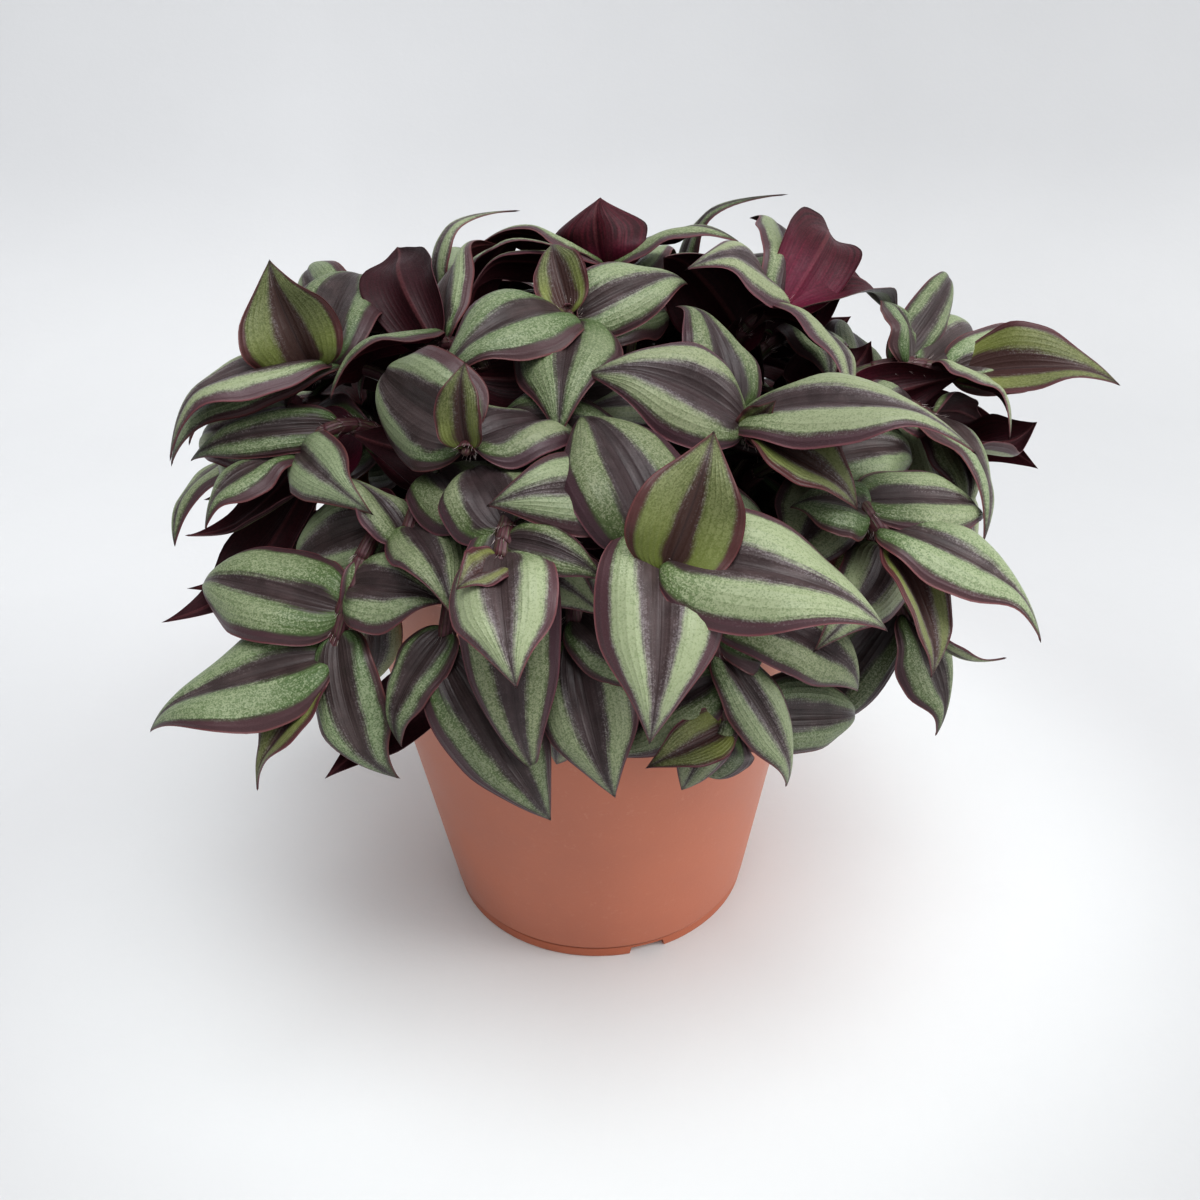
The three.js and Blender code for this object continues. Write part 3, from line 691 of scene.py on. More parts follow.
def stem_material(looks):
    """Green stems flushed and streaked with purple, pinker towards the growing end."""
    material, nodes, shader = new_material("stem_skin", Specular_IOR_Level=0.45)
    veins = nodes.group("Long Veins", count=5.0, seed=nodes.attribute("tone"))
    grain = nodes.group("Fine Grain", scale=1800.0)
    face = nodes.blend(nodes.ramp(veins["Streaks"], 0.4, 0.6), looks.stem_green, looks.stem_purple)
    tip = nodes.ramp(nodes.attribute("along"), 0.55, 0.95)
    face = nodes.blend(nodes.times(tip, 0.6), face, looks.stem_pink)
    finish_skin(nodes, shader, face, grain, darkest=0.8, palest=1.2, glossiest=0.32, dullest=0.5)
    set_bump(nodes, shader, nodes.plus(veins["Lines"], grain["Mottle"]), 0.0001)
    return material


def sheath_material(looks):
    """Papery sheaths, pink with green and maroon lines."""
    material, nodes, shader = new_material("leaf_sheath")
    veins = nodes.group("Long Veins", count=8.0, seed=nodes.attribute("tone"))
    grain = nodes.group("Fine Grain", scale=1500.0)
    face = nodes.blend(nodes.times(veins["Lines"], 0.5), looks.stem_pink, looks.maroon)
    face = nodes.blend(nodes.ramp(veins["Streaks"], 0.5, 0.75), face, looks.stem_green)
    finish_skin(nodes, shader, face, grain, darkest=0.85, palest=1.15, glossiest=0.38, dullest=0.55)
    set_bump(nodes, shader, veins["Lines"], 0.00006)
    return material


def hair_material(looks):
    """Fine pale hairs at the mouths of the sheaths."""
    material, nodes, shader = new_material("sheath_hair", Roughness=0.35)
    grain = nodes.group("Fine Grain", scale=2500.0)
    nodes.feed(shader.inputs["Base Color"], nodes.blend(grain["Mottle"], looks.hair, looks.pale_hair))
    return material


def pot_material(looks):
    """Moulded plastic: satin, faintly clouded, with a fine grain, dust and painted shade in the groove."""
    material, nodes, shader = new_material("pot_plastic", Specular_IOR_Level=0.55)
    place = nodes.place()
    height = nodes.add("SeparateXYZ", {"Vector": place}).outputs["Z"]
    grain = nodes.group("Fine Grain", scale=2600.0)
    clouds = nodes.add("TexNoise", {"Vector": place, "Scale": 26.0, "Detail": 5.0, "Roughness": 0.55})
    clouds = clouds.outputs["Fac"]
    dust = nodes.add("TexNoise", {"Vector": place, "Scale": 420.0, "Detail": 6.0, "Roughness": 0.7})
    dust = dust.outputs["Fac"]

    face = nodes.blend(nodes.ramp(clouds, 0.3, 0.7), looks.shade, looks.body)
    dusty = nodes.times(nodes.ramp(dust, 0.56, 0.78), 0.3)
    face = nodes.blend(dusty, face, looks.dust)
    ring = nodes.ramp(height, looks.foot_height + 0.0006, looks.foot_height, 0.0, 0.7)
    face = nodes.blend(ring, face, looks.ring)
    # Painted shade darkens the groove above the foot ring, in patches that follow the dust.
    off_groove = nodes.math("ABSOLUTE", nodes.minus(height, looks.foot_height + 0.0005))
    groove_shade = nodes.ramp(off_groove, 0.0009, 0.0002, 0.0, 0.75)
    groove_shade = nodes.times(groove_shade, nodes.ramp(dust, 0.3, 0.6))
    face = nodes.blend(groove_shade, face, looks.groove_shade)
    specks = nodes.add("TexVoronoi", {"Vector": place, "Scale": 70.0}, feature="F1")
    speck = nodes.ramp(specks.outputs["Distance"], 0.045, 0.02)
    face = nodes.blend(nodes.times(speck, 0.6), face, looks.speck)
    nodes.feed(shader.inputs["Base Color"], face)

    rough = nodes.ramp(clouds, 0.3, 0.7, 0.36, 0.46)
    nodes.feed(shader.inputs["Roughness"], nodes.times_plus(dusty, 0.5, rough))
    relief = nodes.times_plus(grain["Mottle"], 0.6, nodes.times(grain["Cells"], 0.2))
    set_bump(nodes, shader, relief, 0.00005)
    return material


def soil_material(looks):
    """Moist peat: dark, matt and crumbly."""
    material, nodes, shader = new_material("potting_soil", Specular_IOR_Level=0.25)
    fine = nodes.group("Fine Grain", scale=1600.0)
    coarse = nodes.group("Fine Grain", scale=420.0)
    face = nodes.blend(fine["Cells"], looks.peat, looks.bark)
    face = nodes.blend(nodes.ramp(coarse["Mottle"], 0.5, 0.7), face, looks.peat)
    nodes.feed(shader.inputs["Base Color"], face)
    nodes.feed(shader.inputs["Roughness"], nodes.ramp(coarse["Cells"], 0.0, 1.0, 0.75, 0.98))
    relief = nodes.plus(fine["Cells"], nodes.times(coarse["Cells"], 2.0))
    set_bump(nodes, shader, relief, 0.00035)
    return material


def grit_material(looks):
    """Pale grains of perlite among the peat."""
    material, nodes, shader = new_material("perlite", Roughness=0.8)
    grain = nodes.group("Fine Grain", scale=2200.0)
    nodes.feed(shader.inputs["Base Color"], nodes.blend(grain["Cells"], looks.perlite, looks.pale_perlite))
    set_bump(nodes, shader, grain["Cells"], 0.0002)
    return material


def paper_material(looks):
    """Matt studio paper with a faint tooth, and painted light: brighter and cooler round the pot, where it
    lifts the plant's shadow, and brighter at its left and behind it.
    """
    material, nodes, shader = new_material("studio_paper", Roughness=0.85, Specular_IOR_Level=0.2)
    place = nodes.place()
    axes = nodes.add("SeparateXYZ", {"Vector": place}).outputs
    distance = nodes.add("VectorMath", {0: place}, operation="LENGTH").outputs["Value"]
    # Painted light: near the pot the floor is brighter and cooler, against the plant's shadow and the pot's
    # warm bounce.
    face = nodes.blend(nodes.ramp(distance, 0.09, 0.21), looks.paper, looks.far_paper)
    face = nodes.blend(nodes.ramp(axes["Z"], 0.0, 0.12), face, looks.wall_paper)
    cloud = nodes.add("TexNoise", {"Vector": place, "Scale": 9.0, "Detail": 4.0}).outputs["Fac"]
    cloud = nodes.ramp(cloud, 0.2, 0.8, 0.975, 1.01, soft=False)
    # Painted light also brightens the paper at its left and behind the pot, and darkens it in front.
    aside = nodes.ramp(axes["X"], -0.2, 0.2, 1.05, 0.9, soft=False)
    front = nodes.ramp(axes["Y"], -0.2, 0.15, 0.87, 1.04)
    value = nodes.times(nodes.times(cloud, aside), front)
    varied = nodes.add("HueSaturation", {"Color": face, "Value": value})
    nodes.feed(shader.inputs["Base Color"], varied.outputs["Color"])
    grain = nodes.group("Fine Grain", scale=900.0)
    set_bump(nodes, shader, grain["Mottle"], 0.0001)
    return material


# ---- pot ----

FOOT_WIDTH = 3.2
FOOT_ROUND = 0.7
GROOVE_HEIGHT = 1
GROOVE_DEPTH = 0.9
LIP_ROUND = 1
FLOOR_UNDER = 2.2
FLOOR_TOP = 4
NOTCH_HEADINGS = [-73, 47, 167]
NOTCH_SIDE = 0.25  # half the width over which a notch's side rises
DRAIN_COUNT = 6
DRAIN_RADIUS = 4
DRAIN_CIRCLE = 30
DRAIN_CUT_HEIGHT = 6
SHARP_FROM = math.radians(35)


def wall_radius(z):
    return FOOT_RADIUS + WALL_SLOPE * z


def rounding(radius, z, size, start, end, count):
    """Points along a rounded edge of the section, round its middle at a radius and height."""
    angles = np.linspace(start, end, count)
    return [(radius + size * math.cos(a), z + size * math.sin(a)) for a in angles]


def pot_profile(looks):
    """Radius and height along the pot's section, from the middle of its underside to its floor."""
    rim = POT_HEIGHT - looks.rim_height / MM
    band = looks.rim_width / MM
    foot = looks.foot_height / MM
    inner_foot = FOOT_RADIUS - FOOT_WIDTH
    groove = FOOT_RADIUS - GROOVE_DEPTH
    lip = wall_radius(POT_HEIGHT) + band
    mouth = wall_radius(POT_HEIGHT) - WALL_THICKNESS
    floor = wall_radius(FLOOR_TOP) - WALL_THICKNESS
    return [
        (0, FLOOR_UNDER),
        (inner_foot - 0.6, FLOOR_UNDER),
        (inner_foot, FLOOR_UNDER - 0.6),
        (inner_foot, 0.3),
        (inner_foot + 0.3, 0),
        *rounding(FOOT_RADIUS - FOOT_ROUND, FOOT_ROUND, FOOT_ROUND, -math.pi / 2, 0, 5),
        (FOOT_RADIUS, foot - 0.3),
        (FOOT_RADIUS - 0.25, foot),
        (groove, foot + 0.2),
        (groove, foot + 0.7),
        (wall_radius(foot + GROOVE_HEIGHT), foot + GROOVE_HEIGHT),
        *[(wall_radius(z), z) for z in np.linspace(8, rim - 0.6, 12)],
        (wall_radius(rim) + 0.15, rim - 0.1),
        (wall_radius(rim) + band - 0.3, rim + 0.5),
        (wall_radius(rim) + band, rim + 1),
        (lip, POT_HEIGHT - LIP_ROUND),
        *rounding(lip - LIP_ROUND, POT_HEIGHT - LIP_ROUND, LIP_ROUND, 0.3, math.pi / 2, 4),
        (mouth + 0.5, POT_HEIGHT),
        (mouth, POT_HEIGHT - 0.5),
        *[(wall_radius(z) - WALL_THICKNESS, z) for z in np.linspace(POT_HEIGHT - 8, 6, 8)],
        (floor - 1.2, FLOOR_TOP + 0.1),
        (floor - 3, FLOOR_TOP),
        (0, FLOOR_TOP),
    ]


def notch_half(looks):
    """Half the angle that a notch takes up, seen from the pot's axis."""
    return 0.5 * looks.notch_width / MM / FOOT_RADIUS


def from_notch(angle, heading):
    """The angle between a place round the pot and the middle of a notch, either way round."""
    return abs((angle - math.radians(heading) + math.pi) % TAU - math.pi)


def in_notch(angle, looks):
    return any(from_notch(angle, heading) < notch_half(looks) for heading in NOTCH_HEADINGS)


def pot_angles(looks):
    """Angles round the pot, with close pairs at the sides of each notch."""
    half = notch_half(looks)
    side = NOTCH_SIDE / FOOT_RADIUS
    angles = [TAU * i / looks.pot_sides for i in range(looks.pot_sides)]
    for heading in NOTCH_HEADINGS:
        angles = [angle for angle in angles if abs(from_notch(angle, heading) - half) > 4 * side]
        for off in (-half - side, -half + side, half - side, half + side):
            angles.append((math.radians(heading) + off) % TAU)
    return sorted(angles)


def pot_mesh(looks):
    """The pot turned from its section, with the foot ring lifted at each notch."""
    profile = pot_profile(looks)
    angles = pot_angles(looks)
    notch = looks.notch_height / MM
    points = []
    for r, z in profile[1:-1]:
        for angle in angles:
            notched = r >= FOOT_RADIUS - FOOT_WIDTH and in_notch(angle, looks)
            points.append((r * math.cos(angle), r * math.sin(angle), max(z, notch) if notched else z))
    columns = len(angles)
    count = len(points)
    points += [(0, 0, profile[0][1]), (0, 0, profile[-1][1])]
    faces = grid_faces(len(profile) - 2, columns, closed=True)
    faces += fan_faces(count, 0, columns, flip=True)
    faces += fan_faces(count + 1, count - columns, columns)
    sheet = Sheet()
    sheet.add(points, faces)
    return sheet


def cut_drains(piece):
    """Cuts the drain holes through the pot's floor."""
    cutters = bmesh.new()
    for i in range(DRAIN_COUNT):
        angle = TAU * (i + 0.5) / DRAIN_COUNT
        centre = (DRAIN_CIRCLE * math.cos(angle), DRAIN_CIRCLE * math.sin(angle), DRAIN_CUT_HEIGHT / 2)
        bmesh.ops.create_cone(
            cutters,
            cap_ends=True,
            segments=40,
            radius1=DRAIN_RADIUS * MM,
            radius2=DRAIN_RADIUS * MM,
            depth=DRAIN_CUT_HEIGHT * MM,
            matrix=Matrix.Translation(Vector(placed(centre))),
        )
    mesh = bpy.data.meshes.new("drain_cutters")
    cutters.to_mesh(mesh)
    cutters.free()
    cutter = bpy.data.objects.new("drain_cutters", mesh)
    bpy.context.scene.collection.objects.link(cutter)
    modifier = piece.modifiers.new("drains", "BOOLEAN")
    modifier.operation = "DIFFERENCE"
    modifier.solver = "EXACT"
    modifier.object = cutter
    depsgraph = bpy.context.evaluated_depsgraph_get()
    cut = bpy.data.meshes.new_from_object(piece.evaluated_get(depsgraph))
    piece.modifiers.clear()
    piece.data = cut
    bpy.data.objects.remove(cutter)
    cut.set_sharp_from_angle(angle=SHARP_FROM)


# ---- soil ----

SOIL_RINGS = 56
SOIL_ROWS = 12
SOIL_COLUMNS = 150
SOIL_BOTTOM = 4.6
SOIL_PLAY = 0.4  # between the soil and the pot's wall
SIDE_WOBBLE = 0.25
CLOD_BASE = 0.6  # how far under the soil's mean height its clods begin
PEAT_FINISH, PERLITE_FINISH = range(2)
PERLITE_EVERY = 23
CRUMB_SIZES = (0.5, 1.7)
CRUMB_FLATNESS = 0.7
CRUMB_CLEARANCE = 2.2  # from the edge of the soil


def soil_height(x, y):
    share = np.hypot(x, y) / wall_radius(SOIL_TOP)
    return SOIL_TOP + SOIL_CROWN * (1 - share * share)


def soil_radius(z):
    return wall_radius(z) - WALL_THICKNESS - SOIL_PLAY


def clod_lift(x, y, clod_height):
    """How far the soil stands above its mean height, in clods with small crumbs on them."""
    clod = noise.turbulence(Vector((x * 0.16, y * 0.16, 2.0)), 4, False)
    crumb = noise.noise(Vector((x * 0.8, y * 0.8, 7.0)))
    return min(clod_height * (clod - 0.55) + 0.3 * crumb, 1.0)


def soil_plug(looks):
    """The soil as one crumbly-topped body that fills the pot."""
    points = []
    edge = soil_radius(SOIL_TOP)
    for i in range(SOIL_RINGS):
        r = edge * (i + 0.5) / (SOIL_RINGS - 0.5)
        for k in range(SOIL_COLUMNS):
            angle = TAU * (k + 0.5 * (i % 2)) / SOIL_COLUMNS
            x = r * math.cos(angle)
            y = r * math.sin(angle)
            z = soil_height(x, y) - CLOD_BASE + clod_lift(x, y, looks.clod_height / MM)
            points.append((x, y, z))
    for z in np.linspace(SOIL_TOP - 4, SOIL_BOTTOM, SOIL_ROWS):
        for k in range(SOIL_COLUMNS):
            angle = TAU * k / SOIL_COLUMNS
            wobble = noise.noise(Vector((z * 0.3, 9 * math.cos(angle), 9 * math.sin(angle))))
            r = soil_radius(z) - 0.3 + SIDE_WOBBLE * wobble
            points.append((r * math.cos(angle), r * math.sin(angle), z))
    count = len(points)
    points += [(0, 0, soil_height(0, 0) - 0.5), (0, 0, SOIL_BOTTOM)]
    faces = grid_faces(SOIL_RINGS + SOIL_ROWS, SOIL_COLUMNS, closed=True, flip=True)
    faces += fan_faces(count, 0, SOIL_COLUMNS)
    faces += fan_faces(count + 1, count - SOIL_COLUMNS, SOIL_COLUMNS, flip=True)
    sheet = Sheet()
    sheet.add(points, faces)
    return sheet


def lump(radius, keys):
    """A small irregular clod or grain round the origin."""
    form = bmesh.new()
    bmesh.ops.create_icosphere(form, subdivisions=2, radius=radius)
    shift = Vector((9 * draw(1, *keys), 9 * draw(2, *keys), 9 * draw(3, *keys)))
    stretch = 0.7 + 0.6 * draw(4, *keys)
    for vert in form.verts:
        rough = 1 + 0.7 * noise.noise(vert.co / radius * 1.3 + shift)
        vert.co = Vector((vert.co.x * stretch, vert.co.y / stretch, vert.co.z * CRUMB_FLATNESS)) * rough
    points = np.array([vert.co[:] for vert in form.verts])
    faces = [tuple(vert.index for vert in face.verts) for face in form.faces]
    form.free()
    return points, faces


def soil_crumbs(looks):
    """Loose crumbs of peat and bark, and a few grains of perlite, lying on the soil."""
    sheet = Sheet()
    for i in range(looks.crumbs):
        size = mix(*CRUMB_SIZES, draw(51, i) ** 2)
        r = (soil_radius(SOIL_TOP) - CRUMB_CLEARANCE) * math.sqrt(draw(52, i))
        angle = TAU * draw(53, i)
        x = r * math.cos(angle)
        y = r * math.sin(angle)
        points, faces = lump(size, (54, i))
        turn = Matrix.Rotation(TAU * draw(55, i), 3, "Z")
        points = points @ np.array(turn).T + [x, y, soil_height(x, y) - 0.3]
        sheet.add(points, faces, PEAT_FINISH if i % PERLITE_EVERY else PERLITE_FINISH)
    return sheet


# ---- stems ----

STEM_SIDES = 14
STEM_STEPS = 64
STEM_RADIUS = 1.3  # where it leaves the soil
STEM_RADIUS_AT_APEX = 1.6
JOINT_SWELL = 0.3  # how much thicker it is at each leaf
JOINT_LENGTH = 1.3
TIP_PLACES = [1.012, 1.02]  # rings of the round growing tip, just past the apex
TIP_END = 1.021
STEM_FINISH, SHEATH_FINISH, HAIR_FINISH = range(3)
SHEATH_SIDES = 18
SHEATH_ROWS = 7
SHEATH_RADIUS = 1.62
SHEATH_FLARE = 0.4
SHEATH_WALL = 0.24
HAIR_SECTIONS = ((-0.1, 0.05), (0.5, 0.035))  # share of its length, and radius there


class StemPath:
    """A stem's curve: straight out of its hole and then over towards its apex."""

    def __init__(self, root, apex):
        x, y = root
        ground = soil_height(x, y)
        self.start = np.array([x, y, ground + 2])
        self.end = np.array(apex, float)
        self.bend = mix(self.start, self.end, STEM_BEND_REACH)
        self.bend[2] = ground + STEM_BEND_HEIGHT
        self.length = sum(
            np.linalg.norm(self.point((i + 1) / 20) - self.point(i / 20)) for i in range(20)
        )
        ahead = (self.end - self.start) * [1, 1, 0]
        self.across = unit(np.cross(UP, unit(ahead)))

    def point(self, t):
        return (1 - t) ** 2 * self.start + 2 * t * (1 - t) * self.bend + t * t * self.end

    def tangent(self, t):
        return unit((1 - t) * (self.bend - self.start) + t * (self.end - self.bend))

    def ring(self, t, radius, sides):
        """Points round the stem at t, which may run below the ground and past the apex."""
        on_curve = min(max(t, 0), 1)
        along = self.tangent(on_curve) if t > 0 else UP
        inward = np.cross(self.across, along)
        centre = self.point(on_curve) + along * self.length * (t - on_curve)
        turns = TAU * np.arange(sides) / sides
        aside = np.outer(np.cos(turns), self.across) - np.outer(np.sin(turns), inward)
        return centre + np.asarray(radius).reshape(-1, 1) * aside


def stem_surface(sheet, path, leaves, key):
    """The stem itself, thicker at each leaf, closed by a round growing tip."""
    places = [-HOLE_DEPTH / path.length, *np.linspace(0, 1, STEM_STEPS), *TIP_PLACES]
    rings = []
    for t in places:
        radius = mix(STEM_RADIUS, STEM_RADIUS_AT_APEX, max(t, 0))
        for plan in leaves:
            past = (t - plan["at"]) * path.length + 0.8
            radius += JOINT_SWELL * math.exp(-((past / JOINT_LENGTH) ** 2))
        taper = 1 - 0.35 * smooth((t - 0.94) / 0.06)
        if t > 1:
            taper *= math.sqrt(1 - ((t - 1) / (TIP_END - 1)) ** 2)
        rings.append(path.ring(t, radius * taper, STEM_SIDES))
    faces = grid_faces(len(rings), STEM_SIDES, closed=True)
    last = (len(rings) - 1) * STEM_SIDES
    faces.append(tuple(range(STEM_SIDES))[::-1])
    faces.append(tuple(range(last, last + STEM_SIDES)))
    along = np.repeat(places, STEM_SIDES)
    around = np.tile(np.abs(np.linspace(-1, 1, STEM_SIDES)), len(rings))
    values = {"u": along * path.length / 40, "v": around, "along": along, "tone": draw(61, key)}
    sheet.add(rings, faces, STEM_FINISH, **values)


def sheath_surface(sheet, path, plan, looks):
    """The sheath below one leaf: a thin sleeve whose mouth stands higher on the leaf's side."""
    keys = plan["keys"]
    length = looks.sheath_length / MM * (0.7 if plan["young"] else 1)
    turns = TAU * np.arange(SHEATH_SIDES) / SHEATH_SIDES
    along = path.tangent(plan["at"])
    inward = np.cross(path.across, along)
    out = plan["axes"]["along"]
    heading = math.atan2(-np.dot(out, inward), np.dot(out, path.across))
    toward = 0.5 + 0.5 * np.cos(turns - heading)
    shares = np.linspace(0, 1, SHEATH_ROWS)
    walls = []
    for wall in (SHEATH_WALL / 2, -SHEATH_WALL / 2):
        for share in shares:
            radius = SHEATH_RADIUS + SHEATH_FLARE * share**2 * (0.3 + 0.7 * toward) + wall
            ring = path.ring(plan["at"] - length * (1 - share) / path.length, radius, SHEATH_SIDES)
            raised = share**2 * (1.6 * toward + 0.25 * np.sin(3 * turns + heading))
            walls.append(ring + np.outer(raised, along))
    rings = walls[:SHEATH_ROWS] + walls[SHEATH_ROWS:][::-1]
    faces = grid_faces(len(rings), SHEATH_SIDES, closed=True)
    last = (len(rings) - 1) * SHEATH_SIDES
    for k in range(SHEATH_SIDES):
        beside = (k + 1) % SHEATH_SIDES
        faces.append((last + k, last + beside, beside, k))
    u = np.repeat(np.concatenate([shares, shares[::-1]]), SHEATH_SIDES)
    around = np.tile(np.abs(np.linspace(-1, 1, SHEATH_SIDES)), len(rings))
    sheet.add(rings, faces, SHEATH_FINISH, u=u, v=around, along=u, tone=draw(62, *keys))
    mouth = rings[SHEATH_ROWS - 1]
    for i in range(looks.hairs):
        start = mouth[int(draw(63, i, *keys) * SHEATH_SIDES)]
        outward = unit(start - mouth.mean(axis=0))
        lean = unit(along * 0.9 + outward * (0.5 + spread(0.4, 64, i, *keys)))
        hair_surface(sheet, start, lean, outward, looks.hair_length / MM * (0.6 + 0.5 * draw(65, i, *keys)))


def hair_surface(sheet, start, lean, outward, length):
    """One fine hair, a bent three-sided spike."""
    side = unit(np.cross(lean, outward))
    up = np.cross(side, lean)
    points = []
    for share, radius in HAIR_SECTIONS:
        centre = start + lean * length * share + outward * length * 0.2 * share**2
        for k in range(3):
            turn = TAU * k / 3
            points.append(centre + radius * (side * math.cos(turn) + up * math.sin(turn)))
    points.append(start + lean * length + outward * length * 0.2)
    faces = [(0, 1, 4, 3), (1, 2, 5, 4), (2, 0, 3, 5), (3, 4, 6), (4, 5, 6), (5, 3, 6), (2, 1, 0)]
    sheet.add(points, faces, HAIR_FINISH, u=0.0, v=0.0, along=1.0, tone=0.5)


# ---- leaves ----

UPPER_FINISH, UNDER_FINISH = range(2)
LEAF_STEPS = 38
ACROSS = [0, 0.045, 0.12, 0.24, 0.38, 0.52, 0.66, 0.79, 0.9, 0.965, 1]
TEST_ALONG = np.linspace(0.08, 1, 8)
TEST_ACROSS = np.linspace(-1, 1, 5)

# Corners of the construction model's blades, along and across them, by which their places are told:
# those of placed blades wider than FULL_WIDTH, of narrower ones, and of the ruled ones.
FULL_WIDTH = 17.5
FULL_CORNERS = [(0.36, -0.5), (0.36, 0.5), (0.76, -1.0), (0.76, 1.0), (0.76, 0.0)]
SMALL_CORNERS = [(0.42, -1.0), (0.42, 1.0), (0.78, -1.0), (0.78, 1.0), (0.78, 0.0)]
FILLING_CORNERS = [(0.6, -1.0), (0.6, 1.0), (0.6, 0.0)]
POINT_CORNER = [(1.0, 0.0)]
SAME_PLACE = 0.02 * MM

# Leaves that no construction solid has take numbers from here on, which keeps their draws apart.
INNER_FROM = 20
SHELTERED_FROM = 40
INNER_PLACES = [0.3, 0.38, 0.46, 0.54, 0.62, 0.69, 0.75]
INNER_TRIES = 60
INNER_TURNED = 0.35
INNER_LOWEST = 84
# Inner leaves get this much more painted shade.
INNER_SHADE = 0.25

# The outer leaves together, as a flattened ball round the pot's axis.
CANOPY_RADIUS = 108
CANOPY_MIDDLE = 105
CANOPY_HALF_HEIGHT = 82

# What a blade's stripes are drawn from at its two end points.
END_VALUES = {"v": 0.0, "off_midrib": 1.0, "from_midrib": 0.3, "from_margin": 0.0, "from_edge": 0.0}


def outline(u):
    """Half the width of a blade along its length, as a share of its widest."""
    share = np.maximum(0, np.sin(math.pi * np.power(u, 0.66)))
    return share ** (0.52 + 0.14 * u + 0.35 * u**8)


def leaf_axes(base, tip, turn, bend):
    """Along the blade's chord, across it and out of its upper face, after its bend."""
    pitch, yaw, roll, scale = bend
    along = tip - base
    length = np.linalg.norm(along) * scale
    along = unit(along)
    middle = (base + tip) / 2 * [1, 1, 0]
    sky = unit(middle) * OUTWARD_LEAN + UP
    face = unit(sky - along * np.dot(sky, along))
    face = turned(face, along, turn + roll)
    across = np.cross(face, along)
    along = turned(along, across, -pitch)
    face = turned(face, across, -pitch)
    along = turned(along, face, yaw)
    across = turned(across, face, yaw)
    return {"along": along, "across": across, "face": face, "length": length}


def blade_point(plan, u, v, fine=0.0):
    """Points of the blade's middle surface, u along it and v across it from -1 to 1.

    With fine at 0 this is the plain blade of the construction model. At 1 it is the drawn blade,
    with a fuller outline, a rounder midrib, deeper curl, a hooked point, a twist and a rippled margin.
    """
    axes = plan["axes"]
    length = axes["length"]
    u, v = np.broadcast_arrays(np.asarray(u, float), np.asarray(v, float))
    width = 0.5 * plan["width"] * length / plan["span"] * outline(u)
    width = width * (1 + fine * (0.14 - 0.31 * smooth((u - 0.55) / 0.35)))
    fold = (0.85 if plan["young"] else 0.5 + 0.4 * fine) * (1 - 0.35 * u)
    curl = 0.1 + 0.2 * fine if plan["young"] else 0.4 + 0.5 * fine
    valley = np.sqrt(v * v + (0.055 * fine) ** 2) - 0.03 * fine
    arch = plan["arch"] * 4 * u * (1 - u)
    hook = plan["hook"] * np.maximum(0, (u - 0.7) / 0.3) ** 2
    point_hook = 0.085 * fine * np.maximum(0, (u - 0.72) / 0.28) ** 2
    wave = (0.1 + 0.05 * fine) * width * v * np.sin(TAU * (1.2 * u + plan["phase"]))
    twist = fine * 0.5 * math.sin(TAU * 5.3 * plan["phase"]) * u * u * width * v
    ripple = fine * plan["ripple"] * v * v * np.sin(TAU * (3.3 * u + 2.7 * plan["phase"]) + 1.3 * v)
    lift = width * (fold * valley - curl * v * v) + wave + twist + ripple * outline(u)
    lift = lift + length * (arch - hook - point_hook)
    aside = width * v * (1 - 0.12 * fold) + length * plan["sickle"] * u * (1 - u)
    return (
        plan["base"]
        + (length * u)[..., None] * axes["along"]
        + aside[..., None] * axes["across"]
        + lift[..., None] * axes["face"]
    )


def blade_normal(plan, u, v, fine=0.0):
    """The upper side's direction, taken just inside the blade's two ends."""
    step = 1e-3
    u = mix(0.02, 0.97, np.asarray(u, float))
    lengthways = blade_point(plan, u + step, v, fine) - blade_point(plan, u - step, v, fine)
    sideways = blade_point(plan, u, v + step, fine) - blade_point(plan, u, v - step, fine)
    normal = np.cross(lengthways, sideways)
    return normal / np.linalg.norm(normal, axis=-1, keepdims=True)


def grown(plan, base, tip, keys):
    """A leaf's full plan: where it grows and points, and what is a little different in each."""
    young = bool(plan.get("young"))
    full = {"turn": 0, "hook": 0.05, "arch": 0.04 if young else 0.1, "ripple": 0.0, **plan}
    full.update(base=base, tip=tip, young=young, keys=keys, span=np.linalg.norm(tip - base))
    full.update(phase=draw(7, *keys), sickle=spread(0.12, 8, *keys))
    full["axes"] = leaf_axes(base, tip, full["turn"], STRAIGHT)
    return full


def bent(plan, bend):
    """The leaf's plan after one of the bends."""
    return dict(plan, axes=leaf_axes(plan["base"], plan["tip"], plan["turn"], bend))


def corners_found(plan, corners, finder):
    """How many of a plain blade's upper corners lie on corners of the construction solid."""
    u, v = np.array(corners).T
    points = blade_point(plan, u, v) + blade_normal(plan, u, v) * BLADE_THICKNESS / 2
    return sum(finder.find(place)[2] < SAME_PLACE for place in placed(points))


def as_modelled(plan, corners, finder):
    """The leaf with the bend that its blade took in the construction model."""
    for bend in BENDS:
        tried = bent(plan, bend)
        if corners_found(tried, POINT_CORNER, finder) and corners_found(tried, corners, finder) >= 2:
            return tried
    return plan


def vertex_finder(node):
    """Finds the nearest corner of a construction node."""
    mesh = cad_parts[node].data
    finder = KDTree(len(mesh.vertices))
    for vertex in mesh.vertices:
        finder.insert(vertex.co, vertex.index)
    finder.balance()
    return finder


